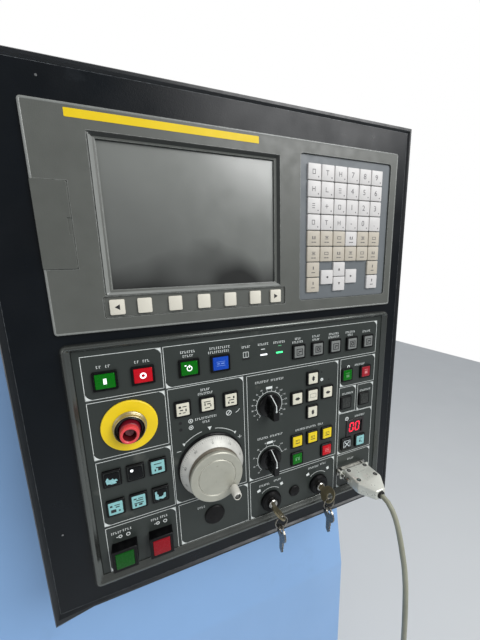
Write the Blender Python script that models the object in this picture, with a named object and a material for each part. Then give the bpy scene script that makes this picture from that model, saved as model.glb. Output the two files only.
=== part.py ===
"""Operator station of a turning lathe: the control console and the blue front guard that carries it.

Units are metres, +Z is up and the operator stands on the -Y side. Places on the console are
written as (right, down, out), counted from the top left corner of the control unit's front face.
"""
import math

import bmesh
import bpy
from mathutils import Matrix, Vector

# Clearances
GAP = 0.0003                  # between pieces that touch
CAP_CLEARANCE = 0.0003        # around a button cap in its housing
SHAFT_CLEARANCE = 0.0003      # around a shaft in its hole

# Sheets and their steps behind the console's face
PANEL_SETBACK = 0.001
PANEL_THICKNESS = 0.0017
PLATE_SETBACK = PANEL_SETBACK + PANEL_THICKNESS + GAP
PLATE_THICKNESS = 0.003

# Control unit: screen, card door and its two key fields
SCREEN_LEFT = 0.0515
SCREEN_TOP = 0.0235
SCREEN_WIDTH = 0.172
SCREEN_HEIGHT = 0.1295
SCREEN_FLARE = (0.0060, 0.0045)
SCREEN_LIP = 0.0045
GLASS_THICKNESS = 0.003
GLASS_BORDER = 0.003
KEY_COLUMNS = 6
KEY_ROWS = 6
LOW_KEY_ROWS = 2
KEY_WIDTH = 0.0174
KEY_HEIGHT = 0.0172
KEY_SPACE_X = 0.0011
KEY_SPACE_Z = 0.00105
KEY_DRAFT = 0.0007
KEY_BED_OUT = -0.0016
KEY_TOP_OUT = 0.0006
ARROW_SPACE_X = 0.0027
ARROW_SPACE_Z = 0.0008
ARROW_DROP = 0.0001
KEYPAD_SPACE = 0.0320
KEYPAD_TOP = 0.0135
KEYPAD_LEFT_BORDER = 0.0097
KEYPAD_RIGHT_BORDER = 0.0139
KEYPAD_HEAD = 0.0095
KEYPAD_FOOT = 0.00905
KEYPAD_RECESS = 0.003
SOFT_KEY = (0.0135, 0.0145)
SOFT_KEY_COUNT = 7
SOFT_KEY_SPACE = 0.0148
SOFT_BORDER = (0.00485, 0.0030)
SOFT_SPACE = 0.0058
SOFT_SHIFT = 0.0020
UNIT_RIGHT_BORDER = 0.0110
UNIT_FOOT_BORDER = 0.0127
KEYPAD_FOOT_BORDER = 0.0150
DOOR_TOP = 0.060
DOOR_WIDTH = 0.0265
DOOR_HEIGHT = 0.073
DOOR_THICKNESS = 0.0024
CARD_SLOT = 0.0055
BEZEL_FLANGE = PLATE_SETBACK - GAP
BEZEL_DEPTH = 0.012
KEY_PITCH_X = KEY_WIDTH + KEY_SPACE_X
KEY_PITCH_Z = KEY_HEIGHT + KEY_SPACE_Z
KEYPAD_LEFT = SCREEN_LEFT + SCREEN_WIDTH + KEYPAD_SPACE
KEYPAD_WIDTH = KEYPAD_LEFT_BORDER + (KEY_COLUMNS - 1) * KEY_PITCH_X + KEY_WIDTH + KEYPAD_RIGHT_BORDER
KEYPAD_HEIGHT = KEYPAD_HEAD + (KEY_ROWS + LOW_KEY_ROWS - 1) * KEY_PITCH_Z + KEY_HEIGHT + KEYPAD_FOOT
SOFT_PITCH = SOFT_KEY[0] + SOFT_KEY_SPACE
SOFT_WIDTH = (SOFT_KEY_COUNT - 1) * SOFT_PITCH + SOFT_KEY[0] + 2 * SOFT_BORDER[0]
SOFT_HEIGHT = SOFT_KEY[1] + 2 * SOFT_BORDER[1]
SOFT_LEFT = SCREEN_LEFT + SCREEN_WIDTH / 2 + SOFT_SHIFT - SOFT_WIDTH / 2
SOFT_TOP = SCREEN_TOP + SCREEN_HEIGHT + SOFT_SPACE
UNIT_HEIGHT = max(SOFT_TOP + SOFT_HEIGHT + UNIT_FOOT_BORDER, KEYPAD_TOP + KEYPAD_HEIGHT + KEYPAD_FOOT_BORDER)

# Electronics rack behind the control unit
RACK_DEPTH = 0.060
RACK_SIDE = 0.020
RACK_HEAD = 0.012
RACK_CHAMFER = (0.002, 0.004, 0.006)
FIN_COUNT = 10
FIN_PITCH = 0.012
FIN_INSET = 0.055
FIN_MARGIN = 0.024
FIN_THICKNESS = 0.0025
FIN_DEPTH = 0.014
SOCKET_COUNT = 5
SOCKET_PITCH = 0.025
SOCKET_SIZE = (0.030, 0.012)
SOCKET_INSET = 0.110
SOCKET_DEPTH = 0.008

# Push buttons: cap sizes, housing walls, height over the face and travel
SMALL_CAP = (0.0140, 0.0145)
WIDE_CAP = (0.0180, 0.0150)
TALL_CAP = (0.0184, 0.0185)
SMALL_WALL = 0.0012
TALL_WALL = 0.0030
KEY_OUT = 0.0020
TALL_OUT = 0.0108
CAP_PROUD = 0.0006
CAP_FLANGE = 0.0012
CAP_FLANGE_THICKNESS = 0.0015
BUTTON_TRAVEL = 0.002
SMALL_HOUSING = tuple(side + 2 * (SMALL_WALL + CAP_CLEARANCE) for side in SMALL_CAP)
WIDE_HOUSING = tuple(side + 2 * (SMALL_WALL + CAP_CLEARANCE) for side in WIDE_CAP)
TALL_HOUSING = tuple(side + 2 * (TALL_WALL + CAP_CLEARANCE) for side in TALL_CAP)

# Stop button, with its mushroom cap lost
STOP_HEAD_RADIUS = 0.0100
STOP_TUBE_WALL = 0.0006
STOP_COLLAR_STEP = 0.0064
STOP_COLLAR_WALL = 0.0022
STOP_RING_STEP = 0.0111
STOP_TRAVEL = 0.004
STOP_TUBE_RADIUS = STOP_HEAD_RADIUS + SHAFT_CLEARANCE + STOP_TUBE_WALL
STOP_COLLAR_RADIUS = STOP_HEAD_RADIUS + STOP_COLLAR_STEP
STOP_RING_RADIUS = STOP_COLLAR_RADIUS + STOP_RING_STEP

# Handwheel
WHEEL_FACE_RADIUS = 0.0300
WHEEL_CONE = 0.0077
WHEEL_FACE_OUT = 0.0240
WHEEL_SHAFT = 0.0040
WHEEL_GROOVE = (0.0084, 0.0102)
WHEEL_BASE_STEP = 0.0018
GRIP_INSET = 0.0055
CRANK_ANGLE = math.radians(-44)
GRIP_RADIUS = 0.00475
GRIP_WALL = 0.00145
GRIP_LENGTH = 0.0160
GRIP_SCREW = 0.0018
ENCODER_RADIUS = 0.0300
WHEEL_RADIUS = WHEEL_FACE_RADIUS + WHEEL_CONE
WHEEL_BASE_RADIUS = WHEEL_RADIUS + WHEEL_BASE_STEP
CRANK_RADIUS = WHEEL_FACE_RADIUS - GRIP_INSET
GRIP_REACH = WHEEL_FACE_OUT + GRIP_LENGTH

# Rotary switches
KNOB_RADIUS = 0.0150
KNOB_OUT = 0.0180
KNOB_SHAFT = 0.0030
SWITCH_RADIUS = 0.0125

# Key switches
LOCK_TURN = math.radians(45)
BARREL_RADIUS = 0.0060
BARREL_OUT = 0.0080
BARREL_DEPTH = 0.022
LOCK_WALL = 0.0032
LOCK_LIP = 0.0048
KEY_THICKNESS = 0.0020
BLADE_WIDTH = 0.0080
BLADE_LENGTH = 0.0225
BOW_RADIUS = 0.0105
BOW_SPACE = 0.0030
KEY_HOLE_RADIUS = 0.0043
KEY_HOLE_STEP = 0.0045
RING_STEP = 0.0023
RING_WIRE = 0.0007
RING_SEAT = 0.0018
LOCK_SHANK = BARREL_RADIUS + SHAFT_CLEARANCE + LOCK_WALL
LOCK_RADIUS = LOCK_SHANK + LOCK_LIP
BOW_OUT = BARREL_OUT + BOW_SPACE + BOW_RADIUS
KEY_HOLE_OUT = BOW_OUT + KEY_HOLE_STEP
RING_RADIUS = BOW_RADIUS - RING_STEP

# Blanking plugs
LARGE_BLANK_RADIUS = 0.0125
SMALL_BLANK_RADIUS = 0.0078
BLANK_LIP = 0.0015

# Tool number window
DISPLAY_SIZE = (0.0310, 0.0255)

# Serial port and its plugged connector
PORT_FLANGE = (0.0510, 0.0125)
PORT_SHELL = (0.0385, 0.0085)
PORT_OUT = 0.0057
HOOD_WIDTH = 0.0400
HOOD_HEIGHT = 0.0160
HOOD_SHOULDER = 0.0350
HOOD_OUT = 0.0540
HOOD_NOSE = (0.0155, 0.0130)
GROMMET_RADIUS = 0.0042
GROMMET_LENGTH = 0.0020
CORD_RADIUS = 0.00325
COIL_RADIUS = 0.0365
COIL_TURNS = 2
CURVE_STEPS = 40
PLUG_TAIL = 0.030
PLUG_SIZE = (0.0335, 0.0150)

# Operator panel's frame and the pitches of its rows
PANEL_INSET = 0.0015
PANEL_SPACING = 0.0092
FRAME_SIDE = 0.0085
FRAME_HEAD = 0.0070
FRAME_SILL = 0.0130
FRAME_RISE = 0.004
WIDE_PITCH = 0.0350
TALL_PITCH = 0.0382
OPTION_PITCH = 0.0277
OPTION_COUNT = 5
RAPID_PITCH = 0.0277
RAPID_COUNT = 3
CHUCK_PITCH = (0.0229, 0.0350)
JOG_PITCH = 0.0236
MODE_PITCH = 0.0238
RIGHT_PITCH = 0.0321
TOOL_PITCH = 0.0248

# Free spaces on the panel, edge to edge: first along each row, then down each column
LEFT_SPACE = 0.0121
WHEEL_SPACE_X = 0.0123
KNOB_SPACE_X = 0.0224
JOG_SPACE_X = 0.0155
RIGHT_SPACE_X = 0.0153
RIGHT_END_SPACE = 0.0173
BLANK_SPACE_X = 0.0140
LOCK_SPACE_X = 0.0167
READY_SHIFT = 0.0013
MODE_SHIFT = 0.0008
OPTION_SHIFT = 0.0015
DISPLAY_SHIFT = 0.0029
PORT_SHIFT = 0.0013
WIDE_SPACE = 0.0230
STOP_SPACE = 0.0153
CHUCK_SPACE = 0.01825
TALL_SPACE = 0.0365
TALL_FOOT_SPACE = 0.00885
RAPID_SPACE = 0.02795
WHEEL_SPACE = 0.02835
LARGE_BLANK_SPACE = 0.0184
LARGE_BLANK_FOOT_SPACE = 0.0153
OPTION_SPACE = 0.02405
FEED_SPACE = 0.03975
SPINDLE_SPACE = 0.0445
LOCK_SPACE = 0.0329
LOCK_FOOT_SPACE = 0.0052
JOG_SPACE = 0.0213
MODE_SPACE = 0.0199
START_SPACE = 0.0084
SMALL_BLANK_SPACE = 0.03295
COOLANT_SPACE = 0.0264
SPARE_SPACE = 0.0235
DISPLAY_SPACE = 0.0209
TOOL_SPACE = 0.0014
HOOD_SPACE = 0.02605
HOOD_FOOT_SPACE = 0.0187

# Columns of controls, from left to right
PANEL_LEFT = PANEL_INSET
LEFT_COLUMN = PANEL_LEFT + FRAME_SIDE + LEFT_SPACE + SMALL_HOUSING[0] / 2 + CHUCK_PITCH[0]
WHEEL_COLUMN = LEFT_COLUMN + CHUCK_PITCH[0] + SMALL_HOUSING[0] / 2 + WHEEL_SPACE_X + WHEEL_BASE_RADIUS
KNOB_COLUMN = WHEEL_COLUMN + WHEEL_BASE_RADIUS + KNOB_SPACE_X + KNOB_RADIUS
JOG_COLUMN = KNOB_COLUMN + KNOB_RADIUS + JOG_SPACE_X + SMALL_HOUSING[0] / 2 + JOG_PITCH
RIGHT_COLUMN = JOG_COLUMN + JOG_PITCH + RIGHT_SPACE_X + SMALL_HOUSING[0]
RIGHT_MIDDLE = RIGHT_COLUMN + RIGHT_PITCH / 2
READY_COLUMN = WHEEL_COLUMN - READY_SHIFT
SMALL_BLANK_X = KNOB_COLUMN + LOCK_RADIUS + BLANK_SPACE_X + SMALL_BLANK_RADIUS
LOCK_RIGHT_X = SMALL_BLANK_X + SMALL_BLANK_RADIUS + LOCK_SPACE_X + LOCK_RADIUS
PANEL_WIDTH = RIGHT_COLUMN + RIGHT_PITCH + SMALL_HOUSING[0] / 2 + RIGHT_END_SPACE + FRAME_SIDE - PANEL_LEFT
UNIT_WIDTH = max(PANEL_WIDTH + 2 * PANEL_INSET, KEYPAD_LEFT + KEYPAD_WIDTH + UNIT_RIGHT_BORDER)

# Rows of controls, from the top down
PANEL_TOP = UNIT_HEIGHT + PANEL_SPACING
SHEET_TOP = PANEL_TOP + FRAME_HEAD
HALF_KEY = SMALL_HOUSING[1] / 2
WIDE_DOWN = SHEET_TOP + WIDE_SPACE + WIDE_HOUSING[1] / 2
STOP_DOWN = WIDE_DOWN + WIDE_HOUSING[1] / 2 + STOP_SPACE + STOP_RING_RADIUS
CHUCK_DOWN = STOP_DOWN + STOP_RING_RADIUS + CHUCK_SPACE + HALF_KEY
TALL_DOWN = CHUCK_DOWN + CHUCK_PITCH[1] + HALF_KEY + TALL_SPACE + TALL_HOUSING[1] / 2
RAPID_DOWN = WIDE_DOWN + WIDE_HOUSING[1] / 2 + RAPID_SPACE + HALF_KEY
WHEEL_DOWN = RAPID_DOWN + HALF_KEY + WHEEL_SPACE + WHEEL_BASE_RADIUS
LARGE_BLANK_DOWN = WHEEL_DOWN + WHEEL_BASE_RADIUS + LARGE_BLANK_SPACE + LARGE_BLANK_RADIUS
OPTION_DOWN = SHEET_TOP + OPTION_SPACE + HALF_KEY
FEED_DOWN = OPTION_DOWN + HALF_KEY + FEED_SPACE + KNOB_RADIUS
SPINDLE_DOWN = FEED_DOWN + 2 * KNOB_RADIUS + SPINDLE_SPACE
LOCK_DOWN = SPINDLE_DOWN + KNOB_RADIUS + LOCK_SPACE + LOCK_RADIUS
JOG_DOWN = OPTION_DOWN + HALF_KEY + JOG_SPACE + HALF_KEY + JOG_PITCH
MODE_DOWN = JOG_DOWN + JOG_PITCH + HALF_KEY + MODE_SPACE + HALF_KEY
SPINDLE_ROW_DOWN = MODE_DOWN + 2 * HALF_KEY + START_SPACE
SMALL_BLANK_DOWN = SPINDLE_ROW_DOWN + HALF_KEY + SMALL_BLANK_SPACE + SMALL_BLANK_RADIUS
COOLANT_DOWN = OPTION_DOWN + 2 * HALF_KEY + COOLANT_SPACE
SPARE_DOWN = COOLANT_DOWN + 2 * HALF_KEY + SPARE_SPACE
DISPLAY_DOWN = SPARE_DOWN + HALF_KEY + DISPLAY_SPACE + DISPLAY_SIZE[1] / 2
TOOL_DOWN = DISPLAY_DOWN + DISPLAY_SIZE[1] / 2 + TOOL_SPACE + HALF_KEY
PORT_DOWN = TOOL_DOWN + HALF_KEY + HOOD_SPACE + HOOD_HEIGHT / 2
SHEET_FOOT = max(TALL_DOWN + TALL_HOUSING[1] / 2 + TALL_FOOT_SPACE,
                 LARGE_BLANK_DOWN + LARGE_BLANK_RADIUS + LARGE_BLANK_FOOT_SPACE,
                 LOCK_DOWN + LOCK_RADIUS + LOCK_FOOT_SPACE,
                 PORT_DOWN + HOOD_HEIGHT / 2 + HOOD_FOOT_SPACE)
PANEL_HEIGHT = SHEET_FOOT - PANEL_TOP + FRAME_SILL

# Centres of the controls, right and down
WIDE_BUTTONS = {
    "nc_on_button": (LEFT_COLUMN - WIDE_PITCH / 2, WIDE_DOWN),
    "nc_off_button": (LEFT_COLUMN + WIDE_PITCH / 2, WIDE_DOWN),
    "machine_ready_button": (READY_COLUMN - WIDE_PITCH / 2, WIDE_DOWN),
    "alarm_reset_button": (READY_COLUMN + WIDE_PITCH / 2, WIDE_DOWN),
}
TALL_BUTTONS = {
    "cycle_start_button": (LEFT_COLUMN - TALL_PITCH / 2, TALL_DOWN),
    "feed_hold_button": (LEFT_COLUMN + TALL_PITCH / 2, TALL_DOWN),
}
JOG_CENTRE = (JOG_COLUMN, JOG_DOWN)
MODE_ROW = (JOG_COLUMN + MODE_SHIFT - MODE_PITCH, MODE_DOWN)
OPTION_ROW = (RIGHT_COLUMN + RIGHT_PITCH + OPTION_SHIFT - (OPTION_COUNT - 1) * OPTION_PITCH, OPTION_DOWN)
RAPID_ROW = (READY_COLUMN - (RAPID_COUNT - 1) / 2 * RAPID_PITCH, RAPID_DOWN)
CHUCK_GRID = (LEFT_COLUMN - CHUCK_PITCH[0], CHUCK_DOWN)
COOLANT_ROW = (RIGHT_COLUMN, COOLANT_DOWN)
SPARE_ROW = (RIGHT_COLUMN, SPARE_DOWN)
TOOL_ROW = (RIGHT_MIDDLE - TOOL_PITCH / 2, TOOL_DOWN)
DISPLAY_CENTRE = (RIGHT_MIDDLE + DISPLAY_SHIFT, DISPLAY_DOWN)
STOP_CENTRE = (LEFT_COLUMN, STOP_DOWN)
WHEEL_CENTRE = (WHEEL_COLUMN, WHEEL_DOWN)
FEED_CENTRE = (KNOB_COLUMN, FEED_DOWN)
SPINDLE_CENTRE = (KNOB_COLUMN, SPINDLE_DOWN)
LOCK_CENTRES = {"left": (KNOB_COLUMN, LOCK_DOWN), "right": (LOCK_RIGHT_X, LOCK_DOWN)}
BLANKS = {
    "blanking_plug_left": ((WHEEL_COLUMN, LARGE_BLANK_DOWN), LARGE_BLANK_RADIUS),
    "blanking_plug_right": ((SMALL_BLANK_X, SMALL_BLANK_DOWN), SMALL_BLANK_RADIUS),
}
PORT_CENTRE = (RIGHT_MIDDLE - PORT_SHIFT, PORT_DOWN)

# Circuit board behind the panel
BOARD_SPACE = 0.0175
BOARD_THICKNESS = 0.0016
BOARD_LEFT_EDGE = 0.0196
BOARD_RIGHT_EDGE = 0.0158
BOARD_HEAD_EDGE = 0.018
BOARD_FOOT_EDGE = 0.024
BOARD_POST_RADIUS = 0.003
BOARD_POST_INSET = 0.005
CHIP_SIZE = (0.026, 0.014)
CHIP_COUNT = 4
CHIP_PITCH = 0.036
CHIP_LEFT = 0.043
CHIP_TOP = 0.060
CHIP_THICKNESS = 0.0024

# Console housing
MARGIN_LEFT = 0.0415
MARGIN_RIGHT = 0.023
MARGIN_TOP = 0.033
MARGIN_FOOT = 0.0253
HOUSING_SHEET = 0.002
HOLE_INSET = 0.002
UNIT_HOLE_INSET = 0.004
TRIM_WIDTH = 0.006
TRIM_DEPTH = 0.011
CORNER_DIP = 0.009
CORNER_CUT = 0.004
NOSE_OVERLAP = 0.004
CONSOLE_HEIGHT = MARGIN_TOP + PANEL_TOP + PANEL_HEIGHT + MARGIN_FOOT

# Guard that carries the console
UNIT_TOP_HEIGHT = 1.578
GUARD_LEFT_REACH = 0.150
GUARD_DEPTH = 0.360
GUARD_SHEET = 0.002
FOLD_SPACE = 0.2155
FOLD_SETBACK = 0.067
LEAN = 0.164
GUARD_TOP_DROP = 0.006
GUARD_FLANGE = 0.030
CORNER_BEVEL = 0.004
WINDOW_MARGIN = 0.020
BASE_HEIGHT = 0.100
FOOT_HEIGHT = 0.030
FOOT_RADIUS = 0.022
FOOT_STEM = 0.006
PLINTH_INSET = 0.012
PLINTH_BAR = 0.035
COVER_SHEET = 0.0015
COVER_OVERLAP = 0.018
LOUVRE_COUNT = 7
LOUVRE_PITCH = 0.026
LOUVRE_LENGTH = 0.150
LOUVRE_RISE = 0.006
LOUVRE_MARGIN = 0.160
COVER_SCREW_RADIUS = 0.005
FOLD_DOWN = CONSOLE_HEIGHT - MARGIN_TOP + FOLD_SPACE

# Overall frame: the origin lies under the middle of the station's box, on the floor
TOTAL_WIDTH = GUARD_LEFT_REACH + UNIT_WIDTH + MARGIN_RIGHT
REAR_REACH = GAP + COVER_SHEET + LOUVRE_RISE
FRONT_REACH = HOOD_OUT + GROMMET_LENGTH
TOTAL_DEPTH = FRONT_REACH + FOLD_SETBACK + GUARD_DEPTH + REAR_REACH
FACE_Y = FRONT_REACH - TOTAL_DEPTH / 2
UNIT_LEFT_X = GUARD_LEFT_REACH - TOTAL_WIDTH / 2
REAR_Y = FACE_Y + FOLD_SETBACK + GUARD_DEPTH
PANEL_OUT = -PANEL_SETBACK
PANEL_BACK = -PANEL_SETBACK - PANEL_THICKNESS


def at(right, down, out=0.0):
    """World place of a point on the console."""
    return Vector((UNIT_LEFT_X + right, FACE_Y - out, UNIT_TOP_HEIGHT - down))


def guard_setback(down):
    """Distance from the console face back to the guard's outer sheet."""
    return FOLD_SETBACK + max(0.0, FOLD_DOWN - down) * LEAN


def clear_scene():
    for item in list(bpy.data.objects):
        bpy.data.objects.remove(item, do_unlink=True)


def paint(name, colour, roughness, metallic=0.0):
    material = bpy.data.materials.new(name)
    material.use_nodes = True
    shader = material.node_tree.nodes["Principled BSDF"]
    shader.inputs["Base Color"].default_value = (*colour, 1.0)
    shader.inputs["Roughness"].default_value = roughness
    shader.inputs["Metallic"].default_value = metallic
    material.diffuse_color = (*colour, 1.0)
    return material


def add_piece(name, form, material, spot=(0.0, 0.0, 0.0)):
    """Make one named object from a closed bmesh; its origin is the spot."""
    bmesh.ops.recalc_face_normals(form, faces=form.faces[:])
    mesh = bpy.data.meshes.new(name)
    form.to_mesh(mesh)
    form.free()
    mesh.materials.append(material)
    mesh.shade_smooth()
    mesh.set_sharp_from_angle(angle=math.radians(35))
    piece = bpy.data.objects.new(name, mesh)
    piece.location = spot
    bpy.context.scene.collection.objects.link(piece)
    return piece


def moved(form, offset):
    bmesh.ops.translate(form, verts=form.verts[:], vec=offset)
    return form


def turned_about(form, angle, axis="Y"):
    bmesh.ops.rotate(form, verts=form.verts[:], cent=(0, 0, 0), matrix=Matrix.Rotation(angle, 3, axis))
    return form


def joined(forms):
    """One bmesh that holds several separate closed forms."""
    whole = bmesh.new()
    for form in forms:
        part = bpy.data.meshes.new("part")
        form.to_mesh(part)
        form.free()
        whole.from_mesh(part)
        bpy.data.meshes.remove(part)
    return whole


def cut_or_join(base, tool, operation):
    """Exact Boolean of two closed forms, returned as a new bmesh."""
    objects = []
    for form in (base, tool):
        bmesh.ops.recalc_face_normals(form, faces=form.faces[:])
        mesh = bpy.data.meshes.new("work")
        form.to_mesh(mesh)
        form.free()
        item = bpy.data.objects.new("work", mesh)
        bpy.context.scene.collection.objects.link(item)
        objects.append(item)
    modifier = objects[0].modifiers.new("Boolean", "BOOLEAN")
    modifier.object = objects[1]
    modifier.operation = operation
    modifier.solver = "EXACT"
    bpy.context.view_layer.update()
    graph = bpy.context.evaluated_depsgraph_get()
    result = bmesh.new()
    result.from_mesh(objects[0].evaluated_get(graph).to_mesh())
    for item in objects:
        mesh = item.data
        bpy.data.objects.remove(item, do_unlink=True)
        bpy.data.meshes.remove(mesh)
    bmesh.ops.dissolve_degenerate(result, dist=1e-6, edges=result.edges[:])
    return result


def union(base, *tools):
    for tool in tools:
        base = cut_or_join(base, tool, "UNION")
    return base


def cut(base, *tools):
    for tool in tools:
        base = cut_or_join(base, tool, "DIFFERENCE")
    return base


def rectangle(width, height, corner=0.0, steps=1, centre=(0.0, 0.0)):
    """Outline of a rectangle whose corners are cut or, with more steps, rounded."""
    points = []
    for quarter, (side, rise) in enumerate(((1, 1), (-1, 1), (-1, -1), (1, -1))):
        x = side * (width / 2 - corner) + centre[0]
        z = rise * (height / 2 - corner) + centre[1]
        if corner <= 0:
            points.append((x, z))
            continue
        for step in range(steps + 1):
            angle = math.radians(90) * (quarter + step / steps)
            points.append((x + corner * math.cos(angle), z + corner * math.sin(angle)))
    return points


def circle(radius, steps, centre=(0.0, 0.0)):
    spacing = 2 * math.pi / steps
    return [(centre[0] + radius * math.cos(spacing * i), centre[1] + radius * math.sin(spacing * i))
            for i in range(steps)]


def loft(sections):
    """Closed form through outlines with equal point counts, each given as (outline, out)."""
    form = bmesh.new()
    rings = [[form.verts.new((x, -out, z)) for x, z in outline] for outline, out in sections]
    count = len(rings[0])
    form.faces.new(rings[0])
    form.faces.new(list(reversed(rings[-1])))
    for lower, upper in zip(rings, rings[1:]):
        for i in range(count):
            j = (i + 1) % count
            form.faces.new((lower[i], lower[j], upper[j], upper[i]))
    return form


def plate(outline, back, front, holes=()):
    """Flat plate in the console plane, from out=back to out=front, with through holes."""
    form = bmesh.new()
    edges = []
    for loop in (outline, *holes):
        corners = [form.verts.new((x, -back, z)) for x, z in loop]
        edges += [form.edges.new((corners[i - 1], corners[i])) for i in range(len(corners))]
    bmesh.ops.triangle_fill(form, use_beauty=True, use_dissolve=False, edges=edges)
    grown = bmesh.ops.extrude_face_region(form, geom=form.faces[:])
    moving = [item for item in grown["geom"] if isinstance(item, bmesh.types.BMVert)]
    bmesh.ops.translate(form, verts=moving, vec=(0, back - front, 0))
    return form


def turned(profile, steps=32):
    """Body of revolution about the out axis; the profile is (radius, out) from axis to axis or a loop."""
    form = bmesh.new()
    rings = []
    for radius, out in profile:
        if radius <= 0:
            rings.append([form.verts.new((0, -out, 0))])
        else:
            rings.append([form.verts.new((x, -out, z)) for x, z in circle(radius, steps)])
    pairs = list(zip(rings, rings[1:]))
    if len(rings[0]) > 1:
        pairs.append((rings[-1], rings[0]))
    for lower, upper in pairs:
        for i in range(steps):
            j = (i + 1) % steps
            if len(lower) == 1:
                form.faces.new((lower[0], upper[j], upper[i]))
            elif len(upper) == 1:
                form.faces.new((lower[i], lower[j], upper[0]))
            else:
                form.faces.new((lower[i], lower[j], upper[j], upper[i]))
    return form


def picture_frame(width, height, sides, profile, corner, steps=3):
    """Mitred frame: the profile is (share of the side's width, out) and closes on itself."""
    left, right, head, sill = sides
    form = bmesh.new()
    rings = []
    for share, out in profile:
        x0, x1 = -width / 2 + share * left, width / 2 - share * right
        z0, z1 = -height / 2 + share * sill, height / 2 - share * head
        radius = max(corner * (1 - share), 0.0008)
        outline = rectangle(x1 - x0, z1 - z0, radius, steps, ((x0 + x1) / 2, (z0 + z1) / 2))
        rings.append([form.verts.new((x, -out, z)) for x, z in outline])
    for lower, upper in zip(rings, rings[1:] + rings[:1]):
        for i in range(len(lower)):
            j = (i + 1) % len(lower)
            form.faces.new((lower[i], lower[j], upper[j], upper[i]))
    return form


def side_prism(profile, x0, x1):
    """Prism along X from a side profile of (y, z) points."""
    form = bmesh.new()
    near = [form.verts.new((x0, y, z)) for y, z in profile]
    far = [form.verts.new((x1, y, z)) for y, z in profile]
    form.faces.new(near)
    form.faces.new(list(reversed(far)))
    for i in range(len(near)):
        j = (i + 1) % len(near)
        form.faces.new((near[i], near[j], far[j], far[i]))
    return form


def block(low, high):
    """Box between two world corners."""
    (x0, y0, z0), (x1, y1, z1) = low, high
    return side_prism([(y0, z0), (y1, z0), (y1, z1), (y0, z1)], x0, x1)


def local(right, down, centre):
    """Offset of a console place from a centre, as (x, z)."""
    return right - centre[0], centre[1] - down


def small_button_places():
    """Jointed small buttons and their centres."""
    x, z = JOG_CENTRE
    places = {
        "jog_up_button": (x, z - JOG_PITCH),
        "jog_down_button": (x, z + JOG_PITCH),
        "jog_left_button": (x - JOG_PITCH, z),
        "jog_right_button": (x + JOG_PITCH, z),
        "jog_rapid_button": (x, z),
    }
    for i, name in enumerate(("mode_low_button", "mode_middle_button", "mode_high_button")):
        places[name] = (MODE_ROW[0] + i * MODE_PITCH, MODE_ROW[1])
    places["spindle_start_button"] = (MODE_ROW[0], SPINDLE_ROW_DOWN)
    places["spindle_stop_button"] = (MODE_ROW[0] + 2 * MODE_PITCH, SPINDLE_ROW_DOWN)
    return places


def fixed_key_places():
    """Centres of the small keys that share the panel's moulding."""
    places = [(OPTION_ROW[0] + i * OPTION_PITCH, OPTION_ROW[1]) for i in range(OPTION_COUNT)]
    places += [(RAPID_ROW[0] + i * RAPID_PITCH, RAPID_ROW[1]) for i in range(RAPID_COUNT)]
    for row in range(2):
        places += [(CHUCK_GRID[0] + i * CHUCK_PITCH[0], CHUCK_GRID[1] + row * CHUCK_PITCH[1])
                   for i in range(3)]
    for row in (COOLANT_ROW, SPARE_ROW):
        places += [(row[0] + i * RIGHT_PITCH, row[1]) for i in range(2)]
    places += [(TOOL_ROW[0] + i * TOOL_PITCH, TOOL_ROW[1]) for i in range(2)]
    return places


def guard_window():
    """Window through guard and housing back: right and down limits."""
    left = PANEL_LEFT + WINDOW_MARGIN
    right = PANEL_LEFT + PANEL_WIDTH - WINDOW_MARGIN
    return left, right, WINDOW_MARGIN, PANEL_TOP + PANEL_HEIGHT - WINDOW_MARGIN


def guard_profile(inset):
    """Side profile of the guard, moved inwards by an inset at the front, top and rear."""
    top_down = -MARGIN_TOP + GUARD_TOP_DROP
    slope = math.hypot(1.0, LEAN)
    front = FACE_Y + FOLD_SETBACK + inset
    top = UNIT_TOP_HEIGHT - top_down - inset
    fold = UNIT_TOP_HEIGHT - FOLD_DOWN + inset * (slope - 1) / LEAN
    lean_y = front + (top - fold) * LEAN
    rear = REAR_Y - inset
    return [(front, BASE_HEIGHT), (front, fold), (lean_y, top), (rear, top), (rear, BASE_HEIGHT)]


def make_guard(blue):
    """Folded sheet cabinet: vertical below the fold, leaning back above it, open at the rear."""
    x0 = UNIT_LEFT_X - GUARD_LEFT_REACH
    x1 = UNIT_LEFT_X + UNIT_WIDTH
    outer = side_prism(guard_profile(0.0), x0, x1)
    corners = [edge for edge in outer.edges if sum(vertex.co.z for vertex in edge.verts) > BASE_HEIGHT * 2.1]
    bmesh.ops.bevel(outer, geom=corners, offset=CORNER_BEVEL, segments=2, affect="EDGES", profile=0.5)
    inner = guard_profile(GUARD_SHEET)
    inner[0] = (inner[0][0], BASE_HEIGHT + GUARD_SHEET)
    inner[-1] = (inner[-1][0], BASE_HEIGHT + GUARD_SHEET)
    cavity = side_prism(inner, x0 + GUARD_SHEET, x1 - GUARD_SHEET)
    top = UNIT_TOP_HEIGHT + MARGIN_TOP - GUARD_TOP_DROP
    front = FACE_Y + FOLD_SETBACK
    floor_cut = block((x0 + GUARD_FLANGE, front + GUARD_FLANGE, BASE_HEIGHT - 0.01),
                      (x1 - GUARD_FLANGE, REAR_Y - GUARD_FLANGE, BASE_HEIGHT + 0.01))
    rear_cut = block((x0 + GUARD_FLANGE, REAR_Y - 0.01, BASE_HEIGHT + GUARD_FLANGE),
                     (x1 - GUARD_FLANGE, REAR_Y + 0.01, top - GUARD_FLANGE))
    left, right, head, sill = guard_window()
    front_cut = block(at(left, sill, 0.0), at(right, head, -guard_setback(0.0) - 0.03))
    return add_piece("guard_shell", cut(outer, union(cavity, floor_cut, rear_cut, front_cut)), blue)


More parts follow.
